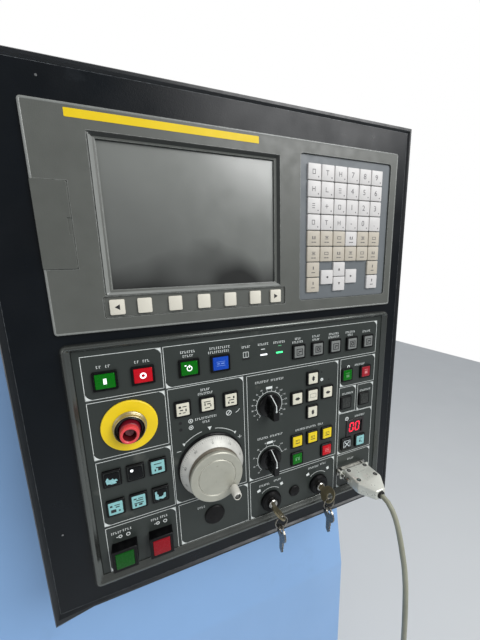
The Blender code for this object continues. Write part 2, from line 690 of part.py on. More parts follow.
def make_plinth(dark):
    """Tube base with four levelling feet."""
    x0 = UNIT_LEFT_X - GUARD_LEFT_REACH + PLINTH_INSET
    x1 = UNIT_LEFT_X + UNIT_WIDTH - PLINTH_INSET
    y0 = FACE_Y + FOLD_SETBACK + PLINTH_INSET
    y1 = REAR_Y - PLINTH_INSET
    top = BASE_HEIGHT - GAP
    base = block((x0, y0, FOOT_HEIGHT), (x1, y1, top))
    inside = block((x0 + PLINTH_BAR, y0 + PLINTH_BAR, FOOT_HEIGHT - 0.01),
                   (x1 - PLINTH_BAR, y1 - PLINTH_BAR, top + 0.01))
    base = cut(base, inside)
    profile = [(0, 0), (FOOT_RADIUS, 0), (FOOT_RADIUS, 0.008), (FOOT_STEM, 0.012),
               (FOOT_STEM, FOOT_HEIGHT + 0.01), (0, FOOT_HEIGHT + 0.01)]
    feet = []
    for x in (x0 + PLINTH_BAR / 2, x1 - PLINTH_BAR / 2):
        for y in (y0 + PLINTH_BAR / 2, y1 - PLINTH_BAR / 2):
            foot = turned_about(turned(profile, 20), math.radians(-90), "X")
            feet.append(moved(foot, (x, y, 0)))
    return add_piece("plinth", union(base, joined(feet)), dark)


def make_rear_cover(blue):
    """Screwed rear cover with pressed louvres."""
    x0 = UNIT_LEFT_X - GUARD_LEFT_REACH + GUARD_FLANGE - COVER_OVERLAP
    x1 = UNIT_LEFT_X + UNIT_WIDTH - GUARD_FLANGE + COVER_OVERLAP
    z0 = BASE_HEIGHT + GUARD_FLANGE - COVER_OVERLAP
    z1 = UNIT_TOP_HEIGHT + MARGIN_TOP - GUARD_TOP_DROP - GUARD_FLANGE + COVER_OVERLAP
    y0 = REAR_Y + GAP
    y1 = y0 + COVER_SHEET
    cover = block((x0, y0, z0), (x1, y1, z1))
    hoods, slots = [], []
    middle = (x0 + x1) / 2
    for low in (z0 + LOUVRE_MARGIN, z1 - LOUVRE_MARGIN - LOUVRE_COUNT * LOUVRE_PITCH):
        for side in (-1, 1):
            centre = middle + side * (x1 - x0) / 4
            left, right = centre - LOUVRE_LENGTH / 2, centre + LOUVRE_LENGTH / 2
            for i in range(LOUVRE_COUNT):
                z = low + i * LOUVRE_PITCH
                hoods.append(side_prism([(y0 + 0.0004, z), (y1 + LOUVRE_RISE, z), (y1, z + 0.014),
                                         (y0 + 0.0004, z + 0.014)], left, right))
                slots.append(side_prism([(y0 - 0.001, z - 0.001), (y1 + LOUVRE_RISE - 0.0015, z - 0.001),
                                         (y1 - 0.0012, z + 0.0115), (y0 - 0.001, z + 0.0115)],
                                        left + 0.0015, right - 0.0015))
    screws = []
    head = [(0, -0.001), (COVER_SCREW_RADIUS, -0.001), (COVER_SCREW_RADIUS, 0.0012),
            (COVER_SCREW_RADIUS * 0.7, 0.0028), (0, 0.0032)]
    for x in (x0 + COVER_OVERLAP / 2, x1 - COVER_OVERLAP / 2):
        for z in (z0 + 0.03, (z0 + z1) / 2, z1 - 0.03):
            screw = turned_about(turned(head, 12), math.radians(180), "Z")
            screws.append(moved(screw, (x, y1, z)))
    cover = union(cover, joined(hoods), joined(screws))
    return add_piece("rear_cover", cut(cover, joined(slots)), blue)


def console_outline(inset, dip):
    """Front outline of the console about the unit's corner, as (x, z), with the dipped corner."""
    left, right = -MARGIN_LEFT + inset, UNIT_WIDTH + MARGIN_RIGHT - inset
    top, bottom = MARGIN_TOP - inset, MARGIN_TOP - CONSOLE_HEIGHT + inset
    cut_x = left + MARGIN_LEFT - CORNER_CUT - inset
    return [(right, top), (left, top), (left, bottom - dip), (cut_x, bottom), (right, bottom)]


def make_console_housing(black):
    """Wedge box between the upright face and the leaning guard, with a rabbet for the edge trim."""
    origin = at(0, 0)
    down_top, down_bottom = -MARGIN_TOP, CONSOLE_HEIGHT - MARGIN_TOP
    inset = TRIM_WIDTH + GAP
    lean_gap = GAP * math.hypot(1.0, LEAN)

    def wedge(side, wall, front):
        top, bottom = down_top + side, down_bottom - side
        y_top = FACE_Y + guard_setback(top) - lean_gap - wall
        y_bottom = FACE_Y + guard_setback(bottom) - lean_gap - wall
        profile = [(FACE_Y + front, UNIT_TOP_HEIGHT - bottom), (y_bottom, UNIT_TOP_HEIGHT - bottom),
                   (y_top, UNIT_TOP_HEIGHT - top), (FACE_Y + front, UNIT_TOP_HEIGHT - top)]
        return side_prism(profile, origin.x - MARGIN_LEFT + side, origin.x + UNIT_WIDTH + MARGIN_RIGHT - side)

    body = wedge(0.0, 0.0, PLATE_SETBACK + TRIM_DEPTH)
    nose_back = -PLATE_SETBACK - TRIM_DEPTH - NOSE_OVERLAP
    nose = moved(plate(console_outline(inset, 0.0), nose_back, -PLATE_SETBACK), origin)
    cavity = wedge(HOUSING_SHEET + inset, HOUSING_SHEET, PLATE_SETBACK + PLATE_THICKNESS)
    left, right, head, sill = guard_window()
    rear_cut = block(at(left, sill, -guard_setback(sill) + 0.03), at(right, head, -guard_setback(0.0) - 0.03))
    unit_hole = rectangle(UNIT_WIDTH - 2 * UNIT_HOLE_INSET, UNIT_HEIGHT - 2 * UNIT_HOLE_INSET,
                          centre=(UNIT_WIDTH / 2, -UNIT_HEIGHT / 2))
    panel_hole = rectangle(PANEL_WIDTH - 2 * (FRAME_SIDE + HOLE_INSET), SHEET_FOOT - SHEET_TOP - 2 * HOLE_INSET,
                           centre=(PANEL_LEFT + PANEL_WIDTH / 2, -(SHEET_TOP + SHEET_FOOT) / 2))
    holes = [moved(plate(hole, -0.02, 0.01), origin) for hole in (unit_hole, panel_hole)]
    return add_piece("console_housing", cut(union(body, nose), union(cavity, rear_cut, joined(holes))), black)


def make_edge_trim(rubber):
    """Rubber moulding round the front edge, with the lower left corner pulled down."""
    inner = console_outline(TRIM_WIDTH, 0.0)
    back = -PLATE_SETBACK - TRIM_DEPTH + GAP
    sections = [(0.0, back), (0.0, -0.0035), (0.0018, -0.0012), (TRIM_WIDTH * 0.7, -0.0012),
                (TRIM_WIDTH, -0.0032)]
    form = bmesh.new()
    rings = []
    for inset, out in sections:
        dip = CORNER_DIP * max(0.0, 1 - inset / TRIM_WIDTH)
        outline = inner if inset == TRIM_WIDTH else console_outline(inset, dip)
        rings.append([form.verts.new((x, -out, z)) for x, z in outline])
    rings.append([form.verts.new((x, -back, z)) for x, z in inner])
    for lower, upper in zip(rings, rings[1:] + rings[:1]):
        for i in range(len(lower)):
            j = (i + 1) % len(lower)
            form.faces.new((lower[i], lower[j], upper[j], upper[i]))
    return add_piece("edge_trim", form, rubber, at(0, 0))


def make_cnc_unit(grey, glass, door_grey, keypad_grey, metal):
    """Control unit: bezel, glass, keypads, card door and the electronics rack behind."""
    flange = rectangle(UNIT_WIDTH, UNIT_HEIGHT, 0.003, 2, (UNIT_WIDTH / 2, -UNIT_HEIGHT / 2))
    lip = rectangle(UNIT_WIDTH - 0.003, UNIT_HEIGHT - 0.003, 0.003, 2, (UNIT_WIDTH / 2, -UNIT_HEIGHT / 2))
    inset = 2 * (UNIT_HOLE_INSET + GAP)
    neck = rectangle(UNIT_WIDTH - inset, UNIT_HEIGHT - inset, 0.003, 2, (UNIT_WIDTH / 2, -UNIT_HEIGHT / 2))
    bezel = loft([(neck, -BEZEL_DEPTH), (neck, -BEZEL_FLANGE), (flange, -BEZEL_FLANGE),
                  (flange, -0.0012), (lip, 0.0)])
    screen_mid = (SCREEN_LEFT + SCREEN_WIDTH / 2, -SCREEN_TOP - SCREEN_HEIGHT / 2)
    pocket = (SCREEN_WIDTH + 2 * GLASS_BORDER, SCREEN_HEIGHT + 2 * GLASS_BORDER)
    glass_pocket = rectangle(*pocket, centre=screen_mid)
    opening = rectangle(SCREEN_WIDTH, SCREEN_HEIGHT, centre=screen_mid)
    flare_size = (SCREEN_WIDTH + 2 * SCREEN_FLARE[0], SCREEN_HEIGHT + 2 * SCREEN_FLARE[1])
    flare = rectangle(*flare_size, centre=screen_mid)
    glass_back = -SCREEN_LIP - GLASS_THICKNESS - GAP
    screen_cut = loft([(opening, -BEZEL_DEPTH - 0.001), (opening, -0.0026), (flare, -0.0010), (flare, 0.001)])
    rear_cut = plate(glass_pocket, -BEZEL_DEPTH - 0.001, -SCREEN_LIP)
    keypad_mid = (KEYPAD_LEFT + KEYPAD_WIDTH / 2, -KEYPAD_TOP - KEYPAD_HEIGHT / 2)
    keypad_cut = plate(rectangle(KEYPAD_WIDTH, KEYPAD_HEIGHT, 0.003, 2, keypad_mid), -KEYPAD_RECESS, 0.001)
    soft_mid = (SOFT_LEFT + SOFT_WIDTH / 2, -SOFT_TOP - SOFT_HEIGHT / 2)
    soft_cut = plate(rectangle(SOFT_WIDTH, SOFT_HEIGHT, 0.002, 2, soft_mid), -KEYPAD_RECESS, 0.001)
    door_mid_z = -DOOR_TOP - DOOR_HEIGHT / 2
    door_place = rectangle(DOOR_WIDTH + GAP + 0.01, DOOR_HEIGHT + 2 * GAP,
                           centre=((DOOR_WIDTH + GAP - 0.01) / 2, door_mid_z))
    door_cut = plate(door_place, -DOOR_THICKNESS, 0.001)
    slot = rectangle(CARD_SLOT, DOOR_HEIGHT - 0.016, centre=(DOOR_WIDTH - 0.012, door_mid_z))
    slot_cut = plate(slot, -BEZEL_DEPTH + 0.002, 0.0)
    bezel = cut(bezel, screen_cut, rear_cut, joined([keypad_cut, soft_cut]), door_cut, slot_cut)
    add_piece("cnc_bezel", bezel, grey, at(0, 0))

    pane = rectangle(pocket[0] - 2 * GAP, pocket[1] - 2 * GAP, centre=screen_mid)
    add_piece("lcd_screen", plate(pane, glass_back, -SCREEN_LIP - GAP), glass, at(0, 0))

    make_keypads(keypad_grey, keypad_mid, soft_mid)
    make_card_door(door_grey)
    make_control_rack(metal)


def key_block(width, height, low, high, draft):
    """Moulded key: straight foot and a drafted top."""
    return loft([(rectangle(width, height), low), (rectangle(width, height), high - draft),
                 (rectangle(width - 2 * draft, height - 2 * draft), high)])


def make_keypads(grey, keypad_mid, soft_mid):
    """Key field with its cursor cross, and the strip of keys under the screen."""
    foot = KEY_BED_OUT - 0.0005
    bed_outline = rectangle(KEYPAD_WIDTH - 2 * GAP, KEYPAD_HEIGHT - 2 * GAP, 0.003, 2)
    bed = plate(bed_outline, -KEYPAD_RECESS + GAP, KEY_BED_OUT)
    first_x = -KEYPAD_WIDTH / 2 + KEYPAD_LEFT_BORDER + KEY_WIDTH / 2
    first_z = KEYPAD_HEIGHT / 2 - KEYPAD_HEAD - KEY_HEIGHT / 2
    spots = [(column, row) for row in range(KEY_ROWS) for column in range(KEY_COLUMNS)]
    spots += [(column, KEY_ROWS + row) for row in range(LOW_KEY_ROWS) for column in (0, KEY_COLUMNS - 1)]
    places = [(first_x + column * KEY_PITCH_X, first_z - row * KEY_PITCH_Z) for column, row in spots]
    arrow_x = first_x + KEY_WIDTH + ARROW_SPACE_X + KEY_PITCH_X
    arrow_z = first_z - (KEY_ROWS + (LOW_KEY_ROWS - 1) / 2) * KEY_PITCH_Z - ARROW_DROP
    rise = (KEY_HEIGHT + ARROW_SPACE_Z) / 2
    places += [(arrow_x, arrow_z + rise), (arrow_x, arrow_z - rise)]
    places += [(arrow_x - KEY_PITCH_X, arrow_z), (arrow_x + KEY_PITCH_X, arrow_z)]
    keys = []
    for x, z in places:
        keys.append(moved(key_block(KEY_WIDTH, KEY_HEIGHT, foot, KEY_TOP_OUT, KEY_DRAFT), (x, 0, z)))
    add_piece("mdi_keypad", union(bed, joined(keys)), grey, at(keypad_mid[0], -keypad_mid[1]))

    strip_outline = rectangle(SOFT_WIDTH - 2 * GAP, SOFT_HEIGHT - 2 * GAP, 0.002, 2)
    strip = plate(strip_outline, -KEYPAD_RECESS + GAP, KEY_BED_OUT)
    keys = []
    for i in range(SOFT_KEY_COUNT):
        x = SOFT_PITCH * (i - (SOFT_KEY_COUNT - 1) / 2)
        keys.append(moved(key_block(*SOFT_KEY, foot, KEY_TOP_OUT, KEY_DRAFT), (x, 0, 0)))
    add_piece("soft_key_strip", union(strip, joined(keys)), grey, at(soft_mid[0], -soft_mid[1]))


def make_card_door(grey):
    """Flap over the memory card slot, hinged on its left edge."""
    hinge_in = 0.0008
    width = DOOR_WIDTH - hinge_in
    middle = (DOOR_WIDTH / 2 - hinge_in, 0)
    edge = rectangle(DOOR_WIDTH, DOOR_HEIGHT, 0.001, 1, middle)
    face = rectangle(DOOR_WIDTH - 0.001, DOOR_HEIGHT - 0.001, 0.001, 1, middle)
    flap = loft([(edge, -DOOR_THICKNESS + GAP), (edge, 0.0004), (face, 0.0009)])
    flap = moved(flap, (0, -0.001, 0))
    notch = plate(rectangle(0.003, 0.014, centre=(width - 0.0015, 0)), 0.0012, 0.004)
    add_piece("card_door", cut(flap, notch), grey, at(hinge_in, DOOR_TOP + DOOR_HEIGHT / 2, -0.001))


def make_control_rack(metal):
    """Electronics box on the back of the bezel, with cooling fins and connector blocks."""
    front = -BEZEL_DEPTH - GAP
    back = front - RACK_DEPTH
    middle = (UNIT_WIDTH / 2, -UNIT_HEIGHT / 2)
    width, height = UNIT_WIDTH - 2 * RACK_SIDE, UNIT_HEIGHT - 2 * RACK_HEAD
    side, head, depth = RACK_CHAMFER
    body = loft([(rectangle(width - 2 * side, height - 2 * head, centre=middle), back),
                 (rectangle(width, height, centre=middle), back + depth),
                 (rectangle(width, height, centre=middle), front)])
    fins, sockets = [], []
    for i in range(FIN_COUNT):
        x = RACK_SIDE + FIN_INSET + FIN_PITCH * i
        fin = rectangle(FIN_THICKNESS, height - 2 * FIN_MARGIN, centre=(x, middle[1]))
        fins.append(plate(fin, back - FIN_DEPTH, back + 0.002))
    for i in range(SOCKET_COUNT):
        z = middle[1] + SOCKET_PITCH * ((SOCKET_COUNT - 1) / 2 - i)
        socket = rectangle(*SOCKET_SIZE, centre=(UNIT_WIDTH - RACK_SIDE - SOCKET_INSET, z))
        sockets.append(plate(socket, back - SOCKET_DEPTH, back + 0.002))
    add_piece("control_rack", union(body, joined(fins + sockets)), metal, at(0, 0))


def through_cuts():
    """Cutters for every opening of the operator panel, about the unit's corner."""
    cutters = []

    def opening(outline, place):
        cutters.append(moved(plate(outline, PANEL_BACK - 0.002, TALL_OUT + 0.003), (place[0], 0, -place[1])))

    def cap_hole(size):
        return rectangle(size[0] + 2 * CAP_CLEARANCE, size[1] + 2 * CAP_CLEARANCE)

    for place in small_button_places().values():
        opening(cap_hole(SMALL_CAP), place)
    for place in WIDE_BUTTONS.values():
        opening(cap_hole(WIDE_CAP), place)
    for place in TALL_BUTTONS.values():
        opening(cap_hole(TALL_CAP), place)
    opening(circle(STOP_TUBE_RADIUS + GAP, 24), STOP_CENTRE)
    opening(circle(WHEEL_SHAFT + 0.002, 16), WHEEL_CENTRE)
    for place in (FEED_CENTRE, SPINDLE_CENTRE):
        opening(circle(KNOB_SHAFT + SHAFT_CLEARANCE, 12), place)
    for place in LOCK_CENTRES.values():
        opening(circle(LOCK_SHANK + GAP, 20), place)
    for place, radius in BLANKS.values():
        opening(circle(radius - BLANK_LIP + GAP, 20), place)
    opening(rectangle(DISPLAY_SIZE[0] + 2 * GAP, DISPLAY_SIZE[1] + 2 * GAP), DISPLAY_CENTRE)
    opening(rectangle(PORT_SHELL[0] + 2 * GAP, PORT_SHELL[1] + 2 * GAP), PORT_CENTRE)
    return joined(cutters)


def make_operator_panel(panel_grey, frame_grey):
    """Panel plate with button housings, and the rounded frame around it."""
    inner_left, inner_top = PANEL_LEFT + FRAME_SIDE + GAP, SHEET_TOP + GAP
    inner_right = PANEL_LEFT + PANEL_WIDTH - FRAME_SIDE - GAP
    inner_bottom = SHEET_FOOT - GAP
    middle = ((inner_left + inner_right) / 2, -(inner_top + inner_bottom) / 2)
    outline = rectangle(inner_right - inner_left, inner_bottom - inner_top, centre=middle)
    sheet = plate(outline, PANEL_BACK, PANEL_OUT)
    foot = PANEL_BACK + 0.0008
    housings = []

    def housing(size, top, place):
        outer = rectangle(*size, 0.0008)
        crown = rectangle(size[0] - 0.001, size[1] - 0.001, 0.0008)
        return moved(loft([(outer, foot), (outer, top - 0.0006), (crown, top)]), (place[0], 0, -place[1]))

    for place in small_button_places().values():
        housings.append(housing(SMALL_HOUSING, KEY_OUT - CAP_PROUD, place))
    for place in WIDE_BUTTONS.values():
        housings.append(housing(WIDE_HOUSING, KEY_OUT - CAP_PROUD, place))
    for place in TALL_BUTTONS.values():
        housings.append(housing(TALL_HOUSING, TALL_OUT - CAP_PROUD, place))
    for place in fixed_key_places():
        steps = [(rectangle(*SMALL_HOUSING), foot), (rectangle(*SMALL_HOUSING), KEY_OUT - CAP_PROUD),
                 (rectangle(*SMALL_CAP), KEY_OUT - CAP_PROUD),
                 (rectangle(SMALL_CAP[0] - 0.001, SMALL_CAP[1] - 0.001), KEY_OUT)]
        housings.append(moved(loft(steps), (place[0], 0, -place[1])))
    panel = cut(union(sheet, joined(housings)), through_cuts())
    add_piece("operator_panel", panel, panel_grey, at(0, 0))

    back = -PLATE_SETBACK + GAP
    profile = [(0.0, back), (0.0, 0.0002), (0.12, 0.0020), (0.34, FRAME_RISE), (0.56, FRAME_RISE),
               (0.86, 0.0012), (1.0, 0.0), (1.0, back)]
    sides = (FRAME_SIDE, FRAME_SIDE, FRAME_HEAD, FRAME_SILL)
    frame = picture_frame(PANEL_WIDTH, PANEL_HEIGHT, sides, profile, 0.006)
    spot = at(PANEL_LEFT + PANEL_WIDTH / 2, PANEL_TOP + PANEL_HEIGHT / 2)
    add_piece("panel_frame", frame, frame_grey, spot)


def make_button(name, place, size, top, material):
    """Sliding cap with a retaining flange behind the panel."""
    behind = PANEL_BACK - GAP
    flange = rectangle(size[0] + 2 * CAP_FLANGE, size[1] + 2 * CAP_FLANGE)
    stem = rectangle(*size)
    crown = rectangle(size[0] - 0.0012, size[1] - 0.0012)
    cap = loft([(flange, behind - CAP_FLANGE_THICKNESS), (flange, behind), (stem, behind), (stem, top - 0.0006),
                (crown, top)])
    add_piece(name, cap, material, at(*place))


def make_buttons(paints):
    for name, place in WIDE_BUTTONS.items():
        make_button(name, place, WIDE_CAP, KEY_OUT, paints[name])
    for name, place in small_button_places().items():
        make_button(name, place, SMALL_CAP, KEY_OUT, paints[name])
    for name, place in TALL_BUTTONS.items():
        make_button(name, place, TALL_CAP, TALL_OUT, paints[name])


def make_stop_button(yellow, brass, black, red, core):
    """Emergency stop as it stands: ring, collar, tube, turning sleeve and sliding stem, without its cap."""
    spot = at(*STOP_CENTRE)
    hole = STOP_TUBE_RADIUS + GAP
    ring_back = PANEL_OUT + GAP
    ring_top = ring_back + 0.0022
    rim = STOP_RING_RADIUS
    ring = turned([(hole, ring_back), (rim, ring_back), (rim, ring_top - 0.0006), (rim - 0.0006, ring_top),
                   (hole, ring_top)], 40)
    add_piece("estop_ring", ring, yellow, spot)
    collar_back = ring_top + GAP
    outer, inner = STOP_COLLAR_RADIUS, STOP_COLLAR_RADIUS - STOP_COLLAR_WALL
    collar = turned([(inner, collar_back), (outer, collar_back), (outer, collar_back + 0.002),
                     (outer - 0.0012, collar_back + 0.0030), (outer - 0.0012, 0.0092), (inner + 0.0004, 0.0100),
                     (inner, 0.0092)], 32)
    add_piece("estop_collar", collar, brass, spot)
    bore = STOP_HEAD_RADIUS + SHAFT_CLEARANCE
    throat = STOP_HEAD_RADIUS - 0.0028
    stem_back = -0.0220
    tube_back = stem_back - STOP_TRAVEL
    tube = turned([(throat, tube_back), (STOP_TUBE_RADIUS, tube_back), (STOP_TUBE_RADIUS, collar_back),
                   (inner - GAP, collar_back), (inner - GAP, 0.0070), (bore + 0.0012, 0.0082), (bore, 0.0070),
                   (bore, -0.0040), (throat, -0.0040)], 28)
    add_piece("estop_body", tube, black, spot)
    stem_radius = throat - 0.0006
    core_radius = STOP_HEAD_RADIUS - 0.0050
    stem = turned([(0, stem_back), (stem_radius, stem_back), (stem_radius, 0.0025), (core_radius, 0.0025),
                   (core_radius, 0.0110), (core_radius - 0.0010, 0.0125), (0, 0.0125)], 20)
    add_piece("estop_stem", stem, core, spot)
    edge, inside = STOP_HEAD_RADIUS, core_radius + SHAFT_CLEARANCE
    head = turned([(inside, 0.0030), (edge, 0.0030), (edge, 0.0135), (edge - 0.0010, 0.0145),
                   (edge - 0.0010, 0.0190), (edge - 0.0018, 0.0200), (edge - 0.0034, 0.0200),
                   (edge - 0.0040, 0.0190), (edge - 0.0040, 0.0085), (inside, 0.0085)], 28)
    add_piece("estop_head", head, red, spot)


def make_handwheel(black, silver, ivory, steel):
    """Pulse handwheel: back ring, turned wheel with a shaft, crank grip on its screw, encoder behind."""
    spot = at(*WHEEL_CENTRE)
    ring_back = PANEL_OUT + GAP
    ring_hole = WHEEL_SHAFT + 0.0022
    base = WHEEL_BASE_RADIUS
    ring = turned([(ring_hole, ring_back), (base, ring_back), (base, ring_back + 0.0015),
                   (base - 0.0010, ring_back + 0.0024), (ring_hole, ring_back + 0.0024)], 40)
    add_piece("handwheel_base", ring, black, spot)
    wheel_back = ring_back + 0.0024 + GAP
    face = WHEEL_FACE_OUT
    rim = WHEEL_FACE_RADIUS
    profile = [(0, -0.0120), (WHEEL_SHAFT, -0.0120), (WHEEL_SHAFT, wheel_back), (WHEEL_RADIUS, wheel_back),
               (WHEEL_RADIUS, wheel_back + 0.0035), (rim + 0.0006, face - 0.0105), (rim - 0.0028, face - 0.0090),
               (rim - 0.0030, face - 0.0062), (rim - 0.0008, face - 0.0050), (rim, face - 0.0036),
               (rim, face - 0.0014), (rim - 0.0012, face), (rim - WHEEL_GROOVE[0], face),
               (rim - (WHEEL_GROOVE[0] + WHEEL_GROOVE[1]) / 2, face - 0.0009), (rim - WHEEL_GROOVE[1], face),
               (0, face + 0.0006)]
    wheel = turned(profile, 48)
    crank_x = CRANK_RADIUS * math.cos(CRANK_ANGLE)
    crank_z = CRANK_RADIUS * math.sin(CRANK_ANGLE)
    hole_end = face - 0.0100
    hole = moved(turned([(0, hole_end), (GRIP_SCREW + GAP, hole_end), (GRIP_SCREW + GAP, face + 0.002),
                         (0, face + 0.002)], 12), (crank_x, 0, crank_z))
    add_piece("handwheel", cut(wheel, hole), silver, spot)
    grip_spot = spot + Vector((crank_x, 0, crank_z))
    grip_back = face + 0.0006 + GAP
    screw_bore = GRIP_SCREW + SHAFT_CLEARANCE
    seat = GRIP_REACH - 0.0035
    recess = GRIP_RADIUS - GRIP_WALL
    grip = turned([(screw_bore, grip_back), (GRIP_RADIUS - 0.0006, grip_back), (GRIP_RADIUS, grip_back + 0.0012),
                   (GRIP_RADIUS, GRIP_REACH - 0.0008), (GRIP_RADIUS - 0.0007, GRIP_REACH), (recess, GRIP_REACH),
                   (recess, seat), (screw_bore, seat)], 20)
    add_piece("crank_grip", grip, ivory, grip_spot)
    head = recess - 0.0004
    screw = turned([(0, hole_end + GAP), (GRIP_SCREW, hole_end + GAP), (GRIP_SCREW, seat + GAP),
                    (head, seat + GAP), (head, seat + 0.0018), (head - 0.0009, seat + 0.0025),
                    (0, seat + 0.0025)], 12)
    add_piece("crank_screw", screw, steel, grip_spot)
    encoder = turned([(0, -0.0130), (WHEEL_SHAFT + SHAFT_CLEARANCE, -0.0130),
                      (WHEEL_SHAFT + SHAFT_CLEARANCE, PANEL_BACK - GAP), (ENCODER_RADIUS, PANEL_BACK - GAP),
                      (ENCODER_RADIUS, -0.0260), (ENCODER_RADIUS - 0.0030, -0.0310), (0, -0.0310)], 28)
    add_piece("handwheel_encoder", encoder, steel, spot)


def make_knob(name, place, black):
    """Bar pointer knob on a round skirt, with its shaft."""
    base = PANEL_OUT + GAP
    skirt = turned([(0, -0.0120), (KNOB_SHAFT, -0.0120), (KNOB_SHAFT, base), (KNOB_RADIUS, base),
                    (KNOB_RADIUS, base + 0.0025), (KNOB_RADIUS - 0.0010, base + 0.0038), (0, base + 0.0038)], 28)
    sections = []
    reach = KNOB_RADIUS
    for width, low, high, out in ((0.0100, 0.0020 - reach, reach - 0.0008, base + 0.0020),
                                  (0.0092, 0.0018 - reach, reach - 0.0032, KNOB_OUT - 0.0095),
                                  (0.0078, 0.0024 - reach, reach - 0.0072, KNOB_OUT - 0.0008),
                                  (0.0068, 0.0032 - reach, reach - 0.0082, KNOB_OUT)):
        sections.append((rectangle(width, high - low, 0.0012, 1, (0, (low + high) / 2)), out))
    add_piece(name, union(skirt, loft(sections)), black, at(*place))


def key_outline(hole):
    """Key seen flat, as (across, out): blade, shoulder and round bow; or its ring hole."""
    if hole:
        return circle(KEY_HOLE_RADIUS, 14, (0, KEY_HOLE_OUT))
    half = BLADE_WIDTH / 2
    tip = BOW_OUT - BOW_RADIUS - BLADE_LENGTH + 0.003
    start = math.acos(half / BOW_RADIUS)
    bow = []
    for i in range(19):
        angle = -start + (math.pi + 2 * start) * i / 18
        bow.append((BOW_RADIUS * math.cos(angle), BOW_OUT + BOW_RADIUS * math.sin(angle)))
    bits = [(-half, tip + 0.0135), (-half + 0.0014, tip + 0.0115), (-half + 0.0006, tip + 0.0090),
            (-half + 0.0020, tip + 0.0065), (-half + 0.0012, tip + 0.0040), (0.0004, tip)]
    return bow + bits + [(half, tip + 0.0034)]


def key_plate():
    """Flat key in the plane of x and out, its length along the out axis."""
    form = bmesh.new()
    edges = []
    for loop in (key_outline(False), key_outline(True)):
        corners = [form.verts.new((across, -out, -KEY_THICKNESS / 2)) for across, out in loop]
        edges += [form.edges.new((corners[i - 1], corners[i])) for i in range(len(corners))]
    bmesh.ops.triangle_fill(form, use_beauty=True, use_dissolve=False, edges=edges)
    grown = bmesh.ops.extrude_face_region(form, geom=form.faces[:])
    moving = [item for item in grown["geom"] if isinstance(item, bmesh.types.BMVert)]
    bmesh.ops.translate(form, verts=moving, vec=(0, 0, KEY_THICKNESS))
    return form


def make_lock(side, black, chrome, brass, nickel):
    """Key switch with its key, split ring and a second key that hangs from the ring."""
    turn = LOCK_TURN if side == "left" else math.pi - LOCK_TURN
    spot = at(*LOCK_CENTRES[side])
    bore = BARREL_RADIUS + SHAFT_CLEARANCE
    bezel = turned([(bore, -0.0140), (LOCK_SHANK, -0.0140), (LOCK_SHANK, PANEL_OUT + GAP),
                    (LOCK_RADIUS, PANEL_OUT + GAP), (LOCK_RADIUS, 0.0024), (LOCK_RADIUS - 0.0016, 0.0050),
                    (bore + 0.0025, 0.0050), (bore + 0.0011, 0.0040), (bore, 0.0040)], 24)
    add_piece("lock_bezel_" + side, bezel, black, spot)
    barrel = turned([(0, -BARREL_DEPTH), (BARREL_RADIUS, -BARREL_DEPTH), (BARREL_RADIUS, BARREL_OUT - 0.0008),
                     (BARREL_RADIUS - 0.0008, BARREL_OUT), (0, BARREL_OUT)], 24)
    key_tip = BOW_OUT - BOW_RADIUS - BLADE_LENGTH + 0.003
    slot = plate(rectangle(BLADE_WIDTH + 2 * GAP, KEY_THICKNESS + 2 * GAP), key_tip - 0.001, BARREL_OUT + 0.002)
    add_piece("key_barrel_" + side, turned_about(cut(barrel, slot), turn), chrome, spot)
    add_piece("key_" + side, turned_about(key_plate(), turn), brass, spot)
    hang = Vector((math.cos(turn) * RING_SEAT, -KEY_HOLE_OUT, -math.sin(turn) * RING_SEAT))
    ring = bmesh.new()
    loops = []
    for i in range(24):
        angle = 2 * math.pi * i / 24
        loop = []
        for k in range(6):
            tube = 2 * math.pi * k / 6
            reach = RING_RADIUS + RING_WIRE * math.cos(tube)
            loop.append(ring.verts.new((reach * math.sin(angle), RING_WIRE * math.sin(tube),
                                        reach * math.cos(angle) - RING_RADIUS)))
        loops.append(loop)
    for lower, upper in zip(loops, loops[1:] + loops[:1]):
        for k in range(6):
            m = (k + 1) % 6
            ring.faces.new((lower[k], lower[m], upper[m], upper[k]))
    add_piece("key_ring_" + side, ring, nickel, spot + hang)
    spare = key_plate()
    sag = KEY_HOLE_RADIUS - RING_WIRE - GAP
    bmesh.ops.transform(spare, matrix=Matrix.Rotation(math.radians(-90), 4, "X"), verts=spare.verts[:])
    bmesh.ops.transform(spare, matrix=Matrix.Rotation(math.radians(90), 4, "Z"), verts=spare.verts[:])
    moved(spare, (0, 0, -KEY_HOLE_OUT - sag))
    add_piece("spare_key_" + side, spare, nickel, spot + hang + Vector((0, 0, -2 * RING_RADIUS)))


def make_blanks(black):
    """Snap-in plugs in unused switch holes."""
    for name, (place, radius) in BLANKS.items():
        shank = radius - BLANK_LIP
        plug = turned([(0, -0.0070), (shank - 0.0008, -0.0070), (shank, -0.0050), (shank, PANEL_OUT + GAP),
                       (radius, PANEL_OUT + GAP), (radius, PANEL_OUT + 0.0014),
                       (radius - 0.0010, PANEL_OUT + 0.0024), (0, PANEL_OUT + 0.0030)], 28)
        add_piece(name, plug, black, at(*place))


def make_display(black):
    body = loft([(rectangle(*DISPLAY_SIZE), -0.0120), (rectangle(*DISPLAY_SIZE), -0.0004),
                 (rectangle(DISPLAY_SIZE[0] - 0.001, DISPLAY_SIZE[1] - 0.001), 0.0002)])
    window = plate(rectangle(DISPLAY_SIZE[0] - 0.006, DISPLAY_SIZE[1] - 0.007), -0.0012, 0.001)
    add_piece("tool_display", cut(body, window), black, at(*DISPLAY_CENTRE))


